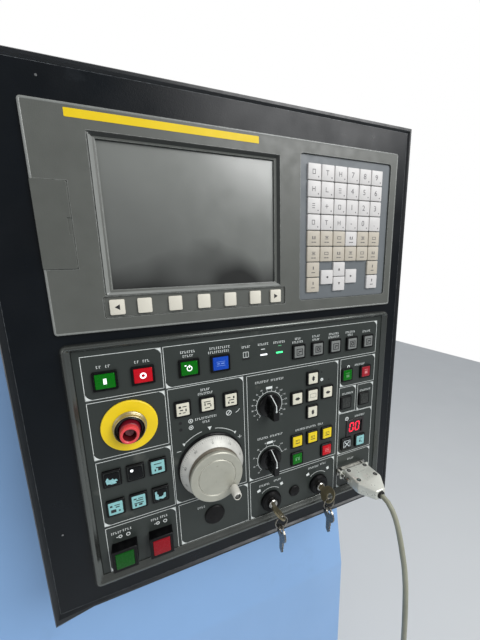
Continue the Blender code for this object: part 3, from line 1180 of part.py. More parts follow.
def make_io_board(green):
    """Circuit board behind the panel, on four posts, with the rotary switch bodies."""
    left, right = KNOB_COLUMN - BOARD_LEFT_EDGE, RIGHT_COLUMN + RIGHT_PITCH + BOARD_RIGHT_EDGE
    top, foot = OPTION_DOWN - BOARD_HEAD_EDGE, SPINDLE_DOWN + BOARD_FOOT_EDGE
    centre = ((left + right) / 2, (top + foot) / 2)
    half_x, half_z = (right - left) / 2, (foot - top) / 2
    board_front = PANEL_BACK - GAP - CAP_FLANGE_THICKNESS - BUTTON_TRAVEL - BOARD_SPACE
    inside = board_front - BOARD_THICKNESS / 2
    board = plate(rectangle(2 * half_x, 2 * half_z), board_front - BOARD_THICKNESS, board_front)
    seat = PANEL_BACK - GAP
    post = [(0, inside), (BOARD_POST_RADIUS, inside), (BOARD_POST_RADIUS, seat), (0, seat)]
    post_x, post_z = half_x - BOARD_POST_INSET, half_z - BOARD_POST_INSET
    posts = [moved(turned(post, 10), (x, 0, z)) for x in (-post_x, post_x) for z in (-post_z, post_z)]
    switches, chips = [], []
    bore = KNOB_SHAFT + SHAFT_CLEARANCE
    switch = [(0, inside), (SWITCH_RADIUS, inside), (SWITCH_RADIUS, seat), (bore, seat), (bore, -0.0130),
              (0, -0.0130)]
    for place in (FEED_CENTRE, SPINDLE_CENTRE):
        x, z = local(place[0], place[1], centre)
        switches.append(moved(turned(switch, 20), (x, 0, z)))
    for i in range(CHIP_COUNT):
        chip = plate(rectangle(*CHIP_SIZE), inside - CHIP_THICKNESS - BOARD_THICKNESS / 2, inside)
        chips.append(moved(chip, (CHIP_LEFT - half_x + CHIP_PITCH * i, 0, half_z - CHIP_TOP)))
    add_piece("io_board", union(board, joined(posts + switches + chips)), green, at(*centre))


def make_serial_port(steel, hood_silver):
    """Panel connector and the metallised hood that is plugged into it."""
    spot = at(*PORT_CENTRE)
    flange_back = PANEL_OUT + GAP
    flange_front = flange_back + 0.0010
    flange = plate(rectangle(*PORT_FLANGE, 0.0015), flange_back, flange_front)
    body = plate(rectangle(*PORT_SHELL), -0.0120, flange_back + 0.0004)
    half, rise = PORT_SHELL[0] / 2 - 0.0022, PORT_SHELL[1] / 2 - 0.0006
    d_shape = [(half, rise), (-half, rise), (-half + 0.0012, -rise), (half - 0.0012, -rise)]
    shell = plate(d_shape, flange_back + 0.0004, PORT_OUT)
    posts = [moved(turned([(0, flange_back + 0.0004), (0.0026, flange_back + 0.0004), (0.0026, PORT_OUT),
                           (0, PORT_OUT)], 6), (side * (PORT_FLANGE[0] / 2 - 0.0036), 0, 0)) for side in (-1, 1)]
    add_piece("serial_port", union(flange, body, shell, joined(posts)), steel, spot)

    plug_back = PORT_OUT + GAP
    plug_flange = plate(rectangle(*PORT_FLANGE, 0.0015), plug_back, plug_back + 0.0012)
    body = loft([(rectangle(HOOD_WIDTH, HOOD_HEIGHT, 0.001), plug_back + 0.0006),
                 (rectangle(HOOD_WIDTH, HOOD_HEIGHT, 0.001), HOOD_SHOULDER),
                 (rectangle(*HOOD_NOSE, 0.001), HOOD_OUT)])
    grommet = turned([(0, HOOD_OUT - 0.001), (GROMMET_RADIUS, HOOD_OUT - 0.001),
                      (GROMMET_RADIUS, HOOD_OUT + 0.0014), (GROMMET_RADIUS - 0.0006, HOOD_OUT + GROMMET_LENGTH),
                      (0, HOOD_OUT + GROMMET_LENGTH)], 16)
    screws = [moved(turned([(0, plug_back + 0.0006), (0.0032, plug_back + 0.0006), (0.0032, 0.0200),
                            (0.0024, 0.0210), (0, 0.0210)], 10), (side * (PORT_FLANGE[0] / 2 - 0.0036), 0, 0))
              for side in (-1, 1)]
    add_piece("connector_hood", union(plug_flange, body, grommet, joined(screws)), hood_silver, spot)


def cord_route():
    """The cord's own points, chosen by hand: (right, down, out) from the grommet to the floor coil."""
    x, z = PORT_CENTRE
    start = HOOD_OUT + GROMMET_LENGTH + GAP
    floor = UNIT_TOP_HEIGHT - CORD_RADIUS - GAP
    hanging = [(x, z, start), (x, z + 0.0002, start + 0.0040), (x + 0.0002, z + 0.0030, start + 0.0100),
               (x + 0.0008, z + 0.0100, start + 0.0165), (x + 0.0018, z + 0.0220, start + 0.0220),
               (x + 0.0040, z + 0.0420, start + 0.0265), (x + 0.0068, z + 0.0640, start + 0.0295),
               (x + 0.0100, z + 0.0860, start + 0.0315), (x + 0.0140, z + 0.1260, start + 0.0330),
               (x + 0.0200, z + 0.2060, start + 0.0325), (x + 0.0262, z + 0.3260, start + 0.0305),
               (x + 0.0302, z + 0.4660, start + 0.0285), (x + 0.0325, z + 0.6160, start + 0.0270),
               (x + 0.0338, z + 0.7660, start + 0.0262), (x + 0.0345, z + 0.9000, start + 0.0256),
               (x + 0.0348, z + 1.0100, start + 0.0250), (x + 0.0349, z + 1.0700, start + 0.0226)]
    lying = [(x + 0.0350, floor - 0.0360, start + 0.0150), (x + 0.0350, floor - 0.0125, start - 0.0010),
             (x + 0.0350, floor - 0.0020, start - 0.0220), (x + 0.0350, floor, start - 0.0430),
             (x + 0.0350, floor, start - 0.0550)]
    return [at(*point) for point in hanging + lying]


def smooth_points(points, spacing):
    """Points at about one spacing along a Catmull-Rom curve through the given points."""
    ends = [points[0] * 2 - points[1], *points, points[-1] * 2 - points[-2]]
    dense = []
    for a, b, c, d in zip(ends, ends[1:], ends[2:], ends[3:]):
        for step in range(CURVE_STEPS):
            t = step / CURVE_STEPS
            dense.append(0.5 * ((2 * b) + (c - a) * t + (2 * a - 5 * b + 4 * c - d) * t * t
                                + (3 * b - a - 3 * c + d) * t * t * t))
    dense.append(points[-1])
    total = sum((q - p).length for p, q in zip(dense, dense[1:]))
    count = max(2, round(total / spacing))
    chosen, travelled, target = [dense[0]], 0.0, total / count
    for p, q in zip(dense, dense[1:]):
        travelled += (q - p).length
        if travelled >= target * len(chosen) and len(chosen) < count:
            chosen.append(q)
    chosen.append(dense[-1])
    return chosen


def make_cord(beige, steel):
    """Free cord: hanging tube, floor coil and the plug on its far end."""
    route = cord_route()
    points = [route[0], *smooth_points(route[1:], CORD_RADIUS * 5.6)]
    curve = bpy.data.curves.new("serial_cable", "CURVE")
    curve.dimensions = "3D"
    curve.bevel_depth = CORD_RADIUS
    curve.bevel_resolution = 2
    curve.use_fill_caps = True
    line = curve.splines.new("POLY")
    line.points.add(len(points) - 1)
    origin = points[0]
    for spot, point in zip(line.points, points):
        spot.co = (*(point - origin), 1.0)
    curve.materials.append(beige)
    cable = bpy.data.objects.new("serial_cable", curve)
    cable.location = origin
    bpy.context.scene.collection.objects.link(cable)

    end = points[-1]
    reach = math.sqrt(4 * COIL_RADIUS * CORD_RADIUS) + GAP
    centre = Vector((end.x - COIL_RADIUS, end.y + reach, GAP))
    height = 2 * CORD_RADIUS * COIL_TURNS
    coil = turned([(COIL_RADIUS - CORD_RADIUS, 0), (COIL_RADIUS + CORD_RADIUS, 0),
                   (COIL_RADIUS + CORD_RADIUS, height), (COIL_RADIUS - CORD_RADIUS, height)], 32)
    add_piece("cable_coil", turned_about(coil, math.radians(-90), "X"), beige, centre)

    nose = Vector((centre.x - COIL_RADIUS, centre.y - reach, PLUG_SIZE[1] / 2 + GAP))
    body = loft([(rectangle(*HOOD_NOSE, 0.001), 0.0), (rectangle(*PLUG_SIZE, 0.001), 0.018),
                 (rectangle(*PLUG_SIZE, 0.001), 0.036)])
    body = union(body, plate(rectangle(0.0390, 0.0125, 0.001), 0.0350, 0.0372),
                 plate(rectangle(0.0250, 0.0080, 0.001), 0.0365, 0.0430),
                 turned([(0, -PLUG_TAIL), (CORD_RADIUS, -PLUG_TAIL), (CORD_RADIUS, -0.006),
                         (GROMMET_RADIUS, -0.006), (GROMMET_RADIUS, 0.001), (0, 0.001)], 12))
    moved(body, (0, -PLUG_TAIL, 0))
    add_piece("cable_plug", body, steel, nose)


def build():
    clear_scene()
    black = paint("black_plastic", (0.015, 0.015, 0.017), 0.45)
    silver = paint("satin_silver", (0.62, 0.61, 0.57), 0.32, 0.9)
    steel = paint("zinc_steel", (0.55, 0.55, 0.54), 0.35, 1.0)
    nickel = paint("nickel_plate", (0.66, 0.65, 0.60), 0.22, 1.0)
    white = paint("ivory_cap", (0.80, 0.78, 0.70), 0.40)
    green = paint("green_cap", (0.02, 0.28, 0.08), 0.30)
    red = paint("red_cap", (0.62, 0.03, 0.05), 0.30)
    yellow = paint("yellow_cap", (0.90, 0.68, 0.03), 0.35)
    paints = {
        "nc_on_button": green, "nc_off_button": red, "machine_ready_button": green,
        "alarm_reset_button": paint("blue_cap", (0.02, 0.10, 0.60), 0.30),
        "jog_up_button": white, "jog_down_button": white, "jog_left_button": white,
        "jog_right_button": white, "jog_rapid_button": white,
        "mode_low_button": yellow, "mode_middle_button": yellow, "mode_high_button": yellow,
        "spindle_start_button": green, "spindle_stop_button": red,
        "cycle_start_button": paint("dark_green_cap", (0.0, 0.16, 0.03), 0.30),
        "feed_hold_button": paint("dark_red_cap", (0.42, 0.01, 0.03), 0.30),
    }
    guard_blue = paint("guard_blue", (0.27, 0.45, 0.70), 0.45)
    make_guard(guard_blue)
    make_plinth(paint("plinth_black", (0.02, 0.02, 0.022), 0.6))
    make_rear_cover(guard_blue)
    make_console_housing(paint("housing_black", (0.018, 0.019, 0.022), 0.5))
    make_edge_trim(paint("edge_rubber", (0.008, 0.008, 0.009), 0.7))
    bezel_grey = paint("bezel_grey", (0.060, 0.062, 0.060), 0.55)
    screen_glass = paint("screen_glass", (0.04, 0.045, 0.045), 0.12)
    door_grey = paint("door_grey", (0.052, 0.054, 0.052), 0.55)
    keypad_grey = paint("keypad_grey", (0.40, 0.40, 0.37), 0.5)
    make_cnc_unit(bezel_grey, screen_glass, door_grey, keypad_grey, steel)
    panel_grey = paint("panel_grey", (0.045, 0.052, 0.050), 0.55)
    frame_grey = paint("frame_grey", (0.16, 0.17, 0.165), 0.35, 0.4)
    make_operator_panel(panel_grey, frame_grey)
    make_buttons(paints)
    stop_yellow = paint("stop_yellow", (0.90, 0.65, 0.02), 0.35)
    collar_brass = paint("collar_brass", (0.62, 0.57, 0.42), 0.25, 1.0)
    stop_red = paint("stop_red", (0.70, 0.06, 0.08), 0.35)
    stem_pink = paint("stem_pink", (0.55, 0.32, 0.33), 0.5)
    make_stop_button(stop_yellow, collar_brass, black, stop_red, stem_pink)
    make_handwheel(black, silver, white, steel)
    make_knob("feed_knob", FEED_CENTRE, black)
    make_knob("spindle_knob", SPINDLE_CENTRE, black)
    key_brass = paint("key_brass", (0.35, 0.30, 0.18), 0.35, 1.0)
    lock_chrome = paint("lock_chrome", (0.70, 0.70, 0.69), 0.15, 1.0)
    for side in LOCK_CENTRES:
        make_lock(side, black, lock_chrome, key_brass, nickel)
    make_blanks(black)
    make_display(black)
    make_io_board(paint("board_green", (0.02, 0.16, 0.07), 0.5))
    make_serial_port(steel, paint("hood_silver", (0.72, 0.71, 0.67), 0.30, 0.9))
    make_cord(paint("cord_beige", (0.42, 0.40, 0.33), 0.55), steel)


build()
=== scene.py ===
import math

import bmesh
import bpy
from mathutils import Matrix, Vector


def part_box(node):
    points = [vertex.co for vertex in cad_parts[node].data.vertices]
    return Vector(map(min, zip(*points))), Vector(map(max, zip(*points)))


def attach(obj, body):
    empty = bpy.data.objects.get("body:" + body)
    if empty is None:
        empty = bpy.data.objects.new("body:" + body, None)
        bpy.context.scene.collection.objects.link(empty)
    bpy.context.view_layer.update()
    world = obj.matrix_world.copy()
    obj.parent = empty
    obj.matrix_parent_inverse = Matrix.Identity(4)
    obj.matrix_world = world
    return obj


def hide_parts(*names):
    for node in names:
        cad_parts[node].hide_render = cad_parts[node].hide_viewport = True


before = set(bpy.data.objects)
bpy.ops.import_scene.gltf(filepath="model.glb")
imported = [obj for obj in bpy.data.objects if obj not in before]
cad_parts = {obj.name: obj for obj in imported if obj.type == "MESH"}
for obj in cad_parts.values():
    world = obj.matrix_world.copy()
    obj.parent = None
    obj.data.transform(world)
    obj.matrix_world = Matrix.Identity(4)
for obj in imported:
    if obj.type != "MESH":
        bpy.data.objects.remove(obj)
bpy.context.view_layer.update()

scene = bpy.context.scene
scene.view_settings.view_transform = "Standard"

# Camera: a phone's wide lens, a forearm's length in front of the screen's left half, turned to the
# right and tipped a little down. Places on the console are given in millimetres as right, down and
# out, counted from the top left corner of the control unit's front.
MM = 0.001
unit_low, unit_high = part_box("cnc_bezel")
UNIT_CORNER = Vector((unit_low[0], unit_low[1], unit_high[2]))


def place(right, down, out=0):
    """World point in metres for a console place in millimetres."""
    return UNIT_CORNER + Vector((right, -out, -down)) * MM


VIEW_POINT = place(74.1, 138, 279.9)
LOOK_RIGHT = Vector((0.935, -0.353, -0.032))
LOOK_AHEAD = Vector((0.342, 0.922, -0.183)).normalized()
camera_data = bpy.data.cameras.new("view")
camera_data.lens = 15.24
camera_data.sensor_width = 36
camera_data.clip_start = 0.01
camera = bpy.data.objects.new("view", camera_data)
side = (LOOK_RIGHT - LOOK_AHEAD * LOOK_RIGHT.dot(LOOK_AHEAD)).normalized()
upward = side.cross(LOOK_AHEAD)
turn = Matrix((side, upward, -LOOK_AHEAD)).transposed()
camera.matrix_world = Matrix.Translation(VIEW_POINT) @ turn.to_4x4()
scene.collection.objects.link(camera)
scene.camera = camera


# Serial cable: one beige-grey screened data cord of 1.8 m. It leaves the hood's nose, droops in
# front of the console to the floor, lies there in a small coil and ends in its second plug.
def shade(red, green, blue):
    """Linear colour from the 0 to 255 values of a colour card."""
    def linear(value):
        value /= 255
        return value / 12.92 if value <= 0.04045 else ((value + 0.055) / 1.055) ** 2.4
    return linear(red), linear(green), linear(blue), 1


class Wiring:
    """A node tree with short calls to add and join nodes."""

    def __init__(self, tree):
        self.nodes = tree.nodes
        self.links = tree.links

    def add(self, kind, **settings):
        node = self.nodes.new(kind)
        for key, value in settings.items():
            setattr(node, key, value)
        return node

    def join(self, source, target):
        """Join a socket to the target, or set the target to a plain value."""
        if isinstance(source, bpy.types.NodeSocket):
            self.links.new(source, target)
        else:
            target.default_value = source

    def maths(self, operation, *values, kind="ShaderNodeMath", result="Value"):
        """Result of one operation on values or sockets."""
        node = self.add(kind, operation=operation)
        for value, socket in zip(values, node.inputs):
            self.join(value, socket)
        return node.outputs[result]

    def ranged(self, source, from_low, from_high, low=0, high=1):
        """The source's range brought to another one, clamped."""
        node = self.add("ShaderNodeMapRange")
        for value, socket in zip((source, from_low, from_high, low, high), node.inputs):
            self.join(value, socket)
        return node.outputs["Result"]

    def mixed(self, share, first, second):
        """Two colours, each a value or a socket, mixed by a share."""
        node = self.add("ShaderNodeMix", data_type="RGBA")
        for value, socket in ((share, "Factor"), (first, "A"), (second, "B")):
            self.join(value, node.inputs[socket])
        return node.outputs["Result"]

    def noise(self, size, detail):
        """Cloudy pattern on the piece's own coordinates, about as fine as a size in metres."""
        texture = self.add("ShaderNodeTexNoise")
        self.join(self.add("ShaderNodeTexCoord").outputs["Object"], texture.inputs["Vector"])
        self.join(1 / size, texture.inputs["Scale"])
        self.join(detail, texture.inputs["Detail"])
        return texture.outputs["Fac"]


def new_material(name):
    """Material, its wiring and its shader's inputs."""
    material = bpy.data.materials.new(name)
    material.use_nodes = True
    wires = Wiring(material.node_tree)
    return material, wires, wires.nodes["Principled BSDF"].inputs


def finish(name, colour, roughness, metallic=0, mottle=0.06, patch=0.03, grain=0, grain_size=0.0006,
           coat=0, specular=0.5, dirt=None, dirt_share=0, edge_colour=None, edge_width=0.0006):
    """Painted, moulded or metal surface with patches, and where asked grain, dirt and a lighter edge colour,
    which is wear and on some finishes a painted highlight; its colours are 0 to 255 values."""
    material, wires, inputs = new_material(name)
    for value, socket in ((metallic, "Metallic"), (specular, "Specular IOR Level"), (coat, "Coat Weight"),
                          (0.12, "Coat Roughness")):
        wires.join(value, inputs[socket])
    dark, light = (tuple(min(1, c * swing) for c in shade(*colour)[:3]) + (1,)
                   for swing in (1 - mottle, 1 + mottle))
    tone = wires.mixed(wires.ranged(wires.noise(patch, 4), 0.3, 0.7), dark, light)
    rough = wires.ranged(wires.noise(patch * 0.4, 3), 0.3, 0.7, roughness * 0.85, min(1, roughness * 1.2))
    if dirt:
        share = wires.ranged(wires.noise(patch * 0.7, 8), 0.72 - dirt_share, 0.80)
        tone = wires.mixed(share, tone, shade(*dirt))
    if edge_colour:
        rounded = wires.add("ShaderNodeBevel", samples=4)
        wires.join(edge_width, rounded.inputs["Radius"])
        facing = wires.maths("DOT_PRODUCT", rounded.outputs["Normal"],
                             wires.add("ShaderNodeNewGeometry").outputs["Normal"], kind="ShaderNodeVectorMath")
        share = wires.maths("MULTIPLY", wires.ranged(facing, 0.995, 0.90),
                            wires.ranged(wires.noise(0.004, 5), 0.3, 0.7, 0.2, 1))
        tone = wires.mixed(share, tone, shade(*edge_colour))
    wires.join(tone, inputs["Base Color"])
    wires.join(rough, inputs["Roughness"])
    if grain:
        bump = wires.add("ShaderNodeBump")
        wires.join(grain, bump.inputs["Strength"])
        wires.join(grain_size * 0.4, bump.inputs["Distance"])
        wires.join(wires.noise(grain_size, 2), bump.inputs["Height"])
        wires.join(bump.outputs["Normal"], inputs["Normal"])
    return material


def dress(material, *nodes):
    """Give carried-over CAD nodes a finish."""
    for node in nodes:
        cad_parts[node].material_slots[0].material = material


def mesh_of(name, form):
    """Mesh from a bmesh, welded, with its faces turned outward."""
    bmesh.ops.remove_doubles(form, verts=form.verts[:], dist=1e-7)
    bmesh.ops.recalc_face_normals(form, faces=form.faces[:])
    mesh = bpy.data.meshes.new(name)
    form.to_mesh(mesh)
    form.free()
    return mesh


def riding(name, mesh, body="station", smooth=35):
    """Piece that rides on a body, shaded smooth up to an angle in degrees."""
    mesh.shade_smooth()
    mesh.set_sharp_from_angle(angle=math.radians(smooth))
    piece = bpy.data.objects.new(name, mesh)
    scene.collection.objects.link(piece)
    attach(piece, body)
    return piece


def solid(name, form, *finishes, body="station", smooth=35):
    """Finished piece from a bmesh in world metres."""
    mesh = mesh_of(name, form)
    for material in finishes:
        mesh.materials.append(material)
    return riding(name, mesh, body, smooth)


def circle(radius, steps=32):
    """Round outline in millimetres as (right, up)."""
    step = 2 * math.pi / steps
    return [(radius * math.cos(step * i), radius * math.sin(step * i)) for i in range(steps)]


def oblong(width, height, corner=0, steps=3, middle=(0, 0)):
    """Rounded rectangle in millimetres as (right, up)."""
    if corner <= 0:
        steps, corner = 0, 0
    outline = []
    for quarter, (right, up) in enumerate(((1, 1), (-1, 1), (-1, -1), (1, -1))):
        centre = (right * (width / 2 - corner) + middle[0], up * (height / 2 - corner) + middle[1])
        for step in range(steps + 1):
            angle = math.pi / 2 * (quarter + (step / steps if steps else 0))
            outline.append((centre[0] + corner * math.cos(angle), centre[1] + corner * math.sin(angle)))
    return outline


def stack(form, middle, sections, finish_index=0, loop=False):
    """Skin through (outline, out) sections about a console place; closed by caps, or a loop without them."""
    centre = place(*middle)
    rings = [[form.verts.new(centre + Vector((x, -out, z)) * MM) for x, z in outline]
             for outline, out in sections]
    faces = []
    if not loop:
        faces += [form.faces.new(rings[0]), form.faces.new(list(reversed(rings[-1])))]
    pairs = list(zip(rings, rings[1:])) + ([(rings[-1], rings[0])] if loop else [])
    count = len(rings[0])
    for lower, upper in pairs:
        faces += [form.faces.new((lower[i], lower[(i + 1) % count], upper[(i + 1) % count], upper[i]))
                  for i in range(count)]
    for face in faces:
        face.material_index = finish_index


def slabs(form, middle, rows, finish_index=0, loop=False):
    """Skin through rounded rectangles; a row is width, height, corner and out."""
    stack(form, middle, [(oblong(*size), out) for *size, out in rows], finish_index, loop)


def prism(form, middle, outline, low, high, finish_index=0):
    """Straight-sided body of one outline."""
    stack(form, middle, [(outline, low), (outline, high)], finish_index)


def spin(form, middle, profile, steps=48, finish_index=0, rising=False):
    """Turned body about the out axis, or about the upright one; the profile is (radius, reach) in
    millimetres, from axis to axis or as a closed loop."""
    centre = place(*middle)
    rings = []
    for radius, reach in profile:
        outline = circle(radius, steps) if radius > 0 else [(0, 0)]
        offsets = [(x, z, reach) if rising else (x, -reach, z) for x, z in outline]
        rings.append([form.verts.new(centre + Vector(offset) * MM) for offset in offsets])
    pairs = list(zip(rings, rings[1:]))
    if len(rings[0]) > 1:
        pairs.append((rings[-1], rings[0]))
    for lower, upper in pairs:
        for i in range(steps):
            j = (i + 1) % steps
            corners = [ring[k % len(ring)] for ring, k in ((lower, i), (lower, j), (upper, j), (upper, i))]
            form.faces.new(list(dict.fromkeys(corners))).material_index = finish_index


PORT = (346.85, 434)
HOOD_NOSE_OUT = 54
GROMMET_OUT = 56.3
CORD_DIAMETER = 6.5
COIL_RADIUS = 33.4
COIL_HALF_TURNS = 5
COIL_RISE = 1.01
PLUG_RISE = 7.8
floor_down = UNIT_CORNER.z / MM
cord_route = [(0, 0, 0), (0, 0.2, 4), (0.2, 3, 10), (0.8, 10, 16.5), (1.8, 22, 22),
              (4, 42, 26.5), (6.8, 64, 29.5), (10, 86, 31.5), (14, 126, 33),
              (20, 206, 32.5), (26.2, 326, 30.5), (30.2, 466, 28.5), (32.5, 616, 27),
              (33.8, 766, 26.2), (34.5, 900, 25.6), (34.8, 1010, 25), (34.9, 1070, 22.6)]
cord_points = [place(PORT[0] + x, PORT[1] + z, GROMMET_OUT + out) for x, z, out in cord_route]
resting = CORD_DIAMETER / 2 + 0.3
for rise, out in ((36, 15), (12.5, -1), (2, -22), (0, -43), (0, -55)):
    cord_points.append(place(PORT[0] + 35, floor_down - resting - rise, GROMMET_OUT + out))
coil_reach = math.sqrt(4 * COIL_RADIUS * CORD_DIAMETER / 2) + 0.3
coil_centre = cord_points[-1] + Vector((-COIL_RADIUS, coil_reach, 0)) * MM
TURN_POINTS = 28
for i in range(TURN_POINTS * COIL_HALF_TURNS // 2 + 1):
    angle = 2 * math.pi * i / TURN_POINTS
    lift = CORD_DIAMETER * i / TURN_POINTS * COIL_RISE
    swing = Vector((COIL_RADIUS * math.cos(angle), COIL_RADIUS * math.sin(angle), lift))
    cord_points.append(coil_centre + swing * MM)
coil_end = cord_points[-1]
plug_grommet = Vector((coil_end.x, coil_centre.y - (coil_reach + 24) * MM, PLUG_RISE * MM))
for share in (0.25, 0.5, 0.75, 1):
    ease = share * share * (3 - 2 * share)
    cord_points.append(Vector((coil_end.x, coil_end.y + (plug_grommet.y - coil_end.y) * share,
                               coil_end.z + (plug_grommet.z - coil_end.z) * ease)))


def smooth_route(points, spacing):
    """Catmull-Rom line through the points, resampled at about one spacing, ends kept."""
    ends = [points[0] * 2 - points[1], *points, points[-1] * 2 - points[-2]]
    dense = []
    for a, b, c, d in zip(ends, ends[1:], ends[2:], ends[3:]):
        for step in range(30):
            t = step / 30
            dense.append(0.5 * ((2 * b) + (c - a) * t + (2 * a - 5 * b + 4 * c - d) * t * t
                                + (3 * b - a - 3 * c + d) * t * t * t))
    dense.append(points[-1])
    total = sum((q - p).length for p, q in zip(dense, dense[1:]))
    count = max(2, round(total / spacing))
    chosen, travelled = [dense[0]], 0
    for p, q in zip(dense, dense[1:]):
        travelled += (q - p).length
        if travelled >= total / count * len(chosen) and len(chosen) < count:
            chosen.append(q)
    return chosen + [dense[-1]]


cord_curve = bpy.data.curves.new("data_cord", "CURVE")
cord_curve.dimensions = "3D"
cord_curve.bevel_depth = CORD_DIAMETER / 2 * MM
cord_curve.bevel_resolution = 4
cord_curve.use_fill_caps = True
cord_line = cord_curve.splines.new("POLY")
smooth_points = smooth_route(cord_points, 9 * MM)
cord_line.points.add(len(smooth_points) - 1)
for knot, point in zip(cord_line.points, smooth_points):
    knot.co = (*point, 1)
cord_curve.materials.append(finish("screened_cord", (147, 147, 128), 0.5, mottle=0.16, patch=0.05,
                                   grain=0.15, grain_size=0.0012, dirt=(84, 80, 66), dirt_share=0.10))
data_cord = bpy.data.objects.new("data_cord", cord_curve)
scene.collection.objects.link(data_cord)
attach(data_cord, "station")
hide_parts("serial_cable", "cable_coil")

# The plugged hood is two metallised plastic shells with sloping shoulders, clamped by sunk screws,
# over a sheet flange with two thumb screws; a black rubber boot holds the cord at its nose.
HOOD_WIDTH = 40
HOOD_THICKNESS = 16
HOOD_SHOULDER = 35
hood_metal = finish("cast_hood", (218, 219, 209), 0.30, metallic=0.40, patch=0.016, grain=0.05,
                    edge_colour=(240, 240, 234), dirt=(150, 148, 134), dirt_share=0.04)
# Black finish: dark print and an unlit window, and painted shade in the screw wells and the grip's bore.
black_and_painted_shade = finish("black_and_recess_shade", (12, 12, 13), 0.6, mottle=0.1)
bright_screw = finish("bright_screw", (176, 176, 172), 0.28, metallic=1, mottle=0.08, patch=0.004)
boot_rubber = finish("cord_boot", (30, 29, 27), 0.6, mottle=0.12, grain=0.1)
hood_form = bmesh.new()
slabs(hood_form, PORT, [(HOOD_WIDTH - 1.2, HOOD_THICKNESS - 1.2, 1.6, 7.2),
                        (HOOD_WIDTH, HOOD_THICKNESS, 1.6, 8),
                        (HOOD_WIDTH, HOOD_THICKNESS, 1.6, HOOD_SHOULDER - 1),
                        (HOOD_WIDTH - 1.6, HOOD_THICKNESS - 0.4, 1.6, HOOD_SHOULDER + 1.2),
                        (16.9, HOOD_THICKNESS - 2.4, 1.6, HOOD_NOSE_OUT - 2),
                        (15.5, HOOD_THICKNESS - 3.2, 1.6, HOOD_NOSE_OUT - 0.6),
                        (14.1, HOOD_THICKNESS - 4.6, 1.6, HOOD_NOSE_OUT)])
prism(hood_form, PORT, oblong(51, 12.5, 1.5), 6, 7.3)
for right in (-21.9, 21.9):
    spin(hood_form, (PORT[0] + right, PORT[1]), [(0, 6.6), (3.1, 6.6), (3.1, 12), (2.5, 12.6), (2.5, 17),
                                                 (3.3, 17.4), (3.3, 21.2), (2.8, 22), (0, 22)], 16, 1)
# Each sunk screw sits on a black disc that stands for its well: painted shade.
for right, out in ((-14.5, 30.5), (14.5, 30.5), (-14.5, 11.5), (14.5, 11.5)):
    for up in (1, -1):
        spot = (PORT[0] + right, PORT[1] - up * HOOD_THICKNESS / 2, out)
        spin(hood_form, spot, [(0, -0.6 * up), (2.9, -0.6 * up), (2.9, 0.07 * up), (0, 0.07 * up)], 18, 2,
             rising=True)
        spin(hood_form, spot, [(0, 0), (1.7, 0), (1.7, 0.14 * up), (0, 0.16 * up)], 14, 1, rising=True)
hood = solid("connector_shell", hood_form, hood_metal, bright_screw, black_and_painted_shade)
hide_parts("connector_hood")
boot_form = bmesh.new()
spin(boot_form, PORT, [(3.3, HOOD_NOSE_OUT - 1), (5.2, HOOD_NOSE_OUT - 1), (5.4, HOOD_NOSE_OUT + 0.6),
                       (4.9, HOOD_NOSE_OUT + 1.8), (3.3, HOOD_NOSE_OUT + 1.9)], 24)
solid("cord_boot", boot_form, boot_rubber)

# The cord's second plug lies on its flat side by the coil: the same shell on a smaller body, with
# its sheet flange and open contact shell.
plug_form = bmesh.new()
plug_place = ((plug_grommet.x - UNIT_CORNER.x) / MM, (UNIT_CORNER.z - plug_grommet.z) / MM,
              (UNIT_CORNER.y - plug_grommet.y) / MM)
spin(plug_form, plug_place, [(0, -1), (4.2, -1), (4.2, 2), (3.6, 8), (0, 8)], 20, 1)
slabs(plug_form, plug_place, [(13, 11, 1.4, 6.2), (15.5, 12.6, 1.6, 7.4), (32, 14.8, 1.6, 23),
                              (33.5, 15, 1.6, 24.6), (33.5, 15, 1.6, 41), (32.3, 13.8, 1.4, 42)])
prism(plug_form, plug_place, oblong(39, 12.5, 1.2), 41.4, 43.2, 2)
prism(plug_form, plug_place, oblong(25, 8, 1.8), 43, 49, 2)
cord_plug = solid("cord_plug", plug_form, hood_metal, boot_rubber, bright_screw)
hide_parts("cable_plug")
dress(finish("port_steel", (150, 150, 146), 0.35, metallic=1, patch=0.01), "serial_port")

# Studio: pale floor and white surroundings, which metal and glass show as well, a little dimmer on
# the viewer's side. One large soft lamp stands high in front on the right, a weak one on the left.
FLOOR_SIDE = 9
VIEWER_SIDE_LIGHT = 0.30
FILL_LIGHT = 0.52
world = bpy.data.worlds.new("studio")
scene.world = world
world.use_nodes = True
wiring = Wiring(world.node_tree)
wiring.nodes.clear()
rays = wiring.add("ShaderNodeLightPath").outputs
seen = wiring.maths("MAXIMUM", rays["Is Camera Ray"], rays["Is Transmission Ray"])
shown = wiring.maths("MAXIMUM", seen, rays["Is Glossy Ray"])
heading = wiring.add("ShaderNodeSeparateXYZ")
wiring.join(wiring.add("ShaderNodeTexCoord").outputs["Generated"], heading.inputs[0])
room = wiring.ranged(heading.outputs["Y"], -0.35, 0.45, VIEWER_SIDE_LIGHT, 1)
blend = wiring.add("ShaderNodeMixShader")
wiring.join(shown, blend.inputs["Fac"])
for colour, strength, target in ((shade(232, 238, 246), FILL_LIGHT, blend.inputs[1]),
                                 ((1, 1, 1, 1), wiring.maths("MAXIMUM", seen, room), blend.inputs[2])):
    background = wiring.add("ShaderNodeBackground")
    wiring.join(colour, background.inputs["Color"])
    wiring.join(strength, background.inputs["Strength"])
    wiring.join(background.outputs[0], target)
wiring.join(blend.outputs[0], wiring.add("ShaderNodeOutputWorld").inputs["Surface"])


def soft_lamp(name, spot, target, size, power):
    lamp = bpy.data.lights.new(name, "AREA")
    lamp.shape = "DISK"
    lamp.size = size
    lamp.energy = power
    holder = bpy.data.objects.new(name, lamp)
    holder.location = spot
    holder.rotation_mode = "QUATERNION"
    holder.rotation_quaternion = (Vector(target) - Vector(spot)).to_track_quat("-Z", "Y")
    scene.collection.objects.link(holder)


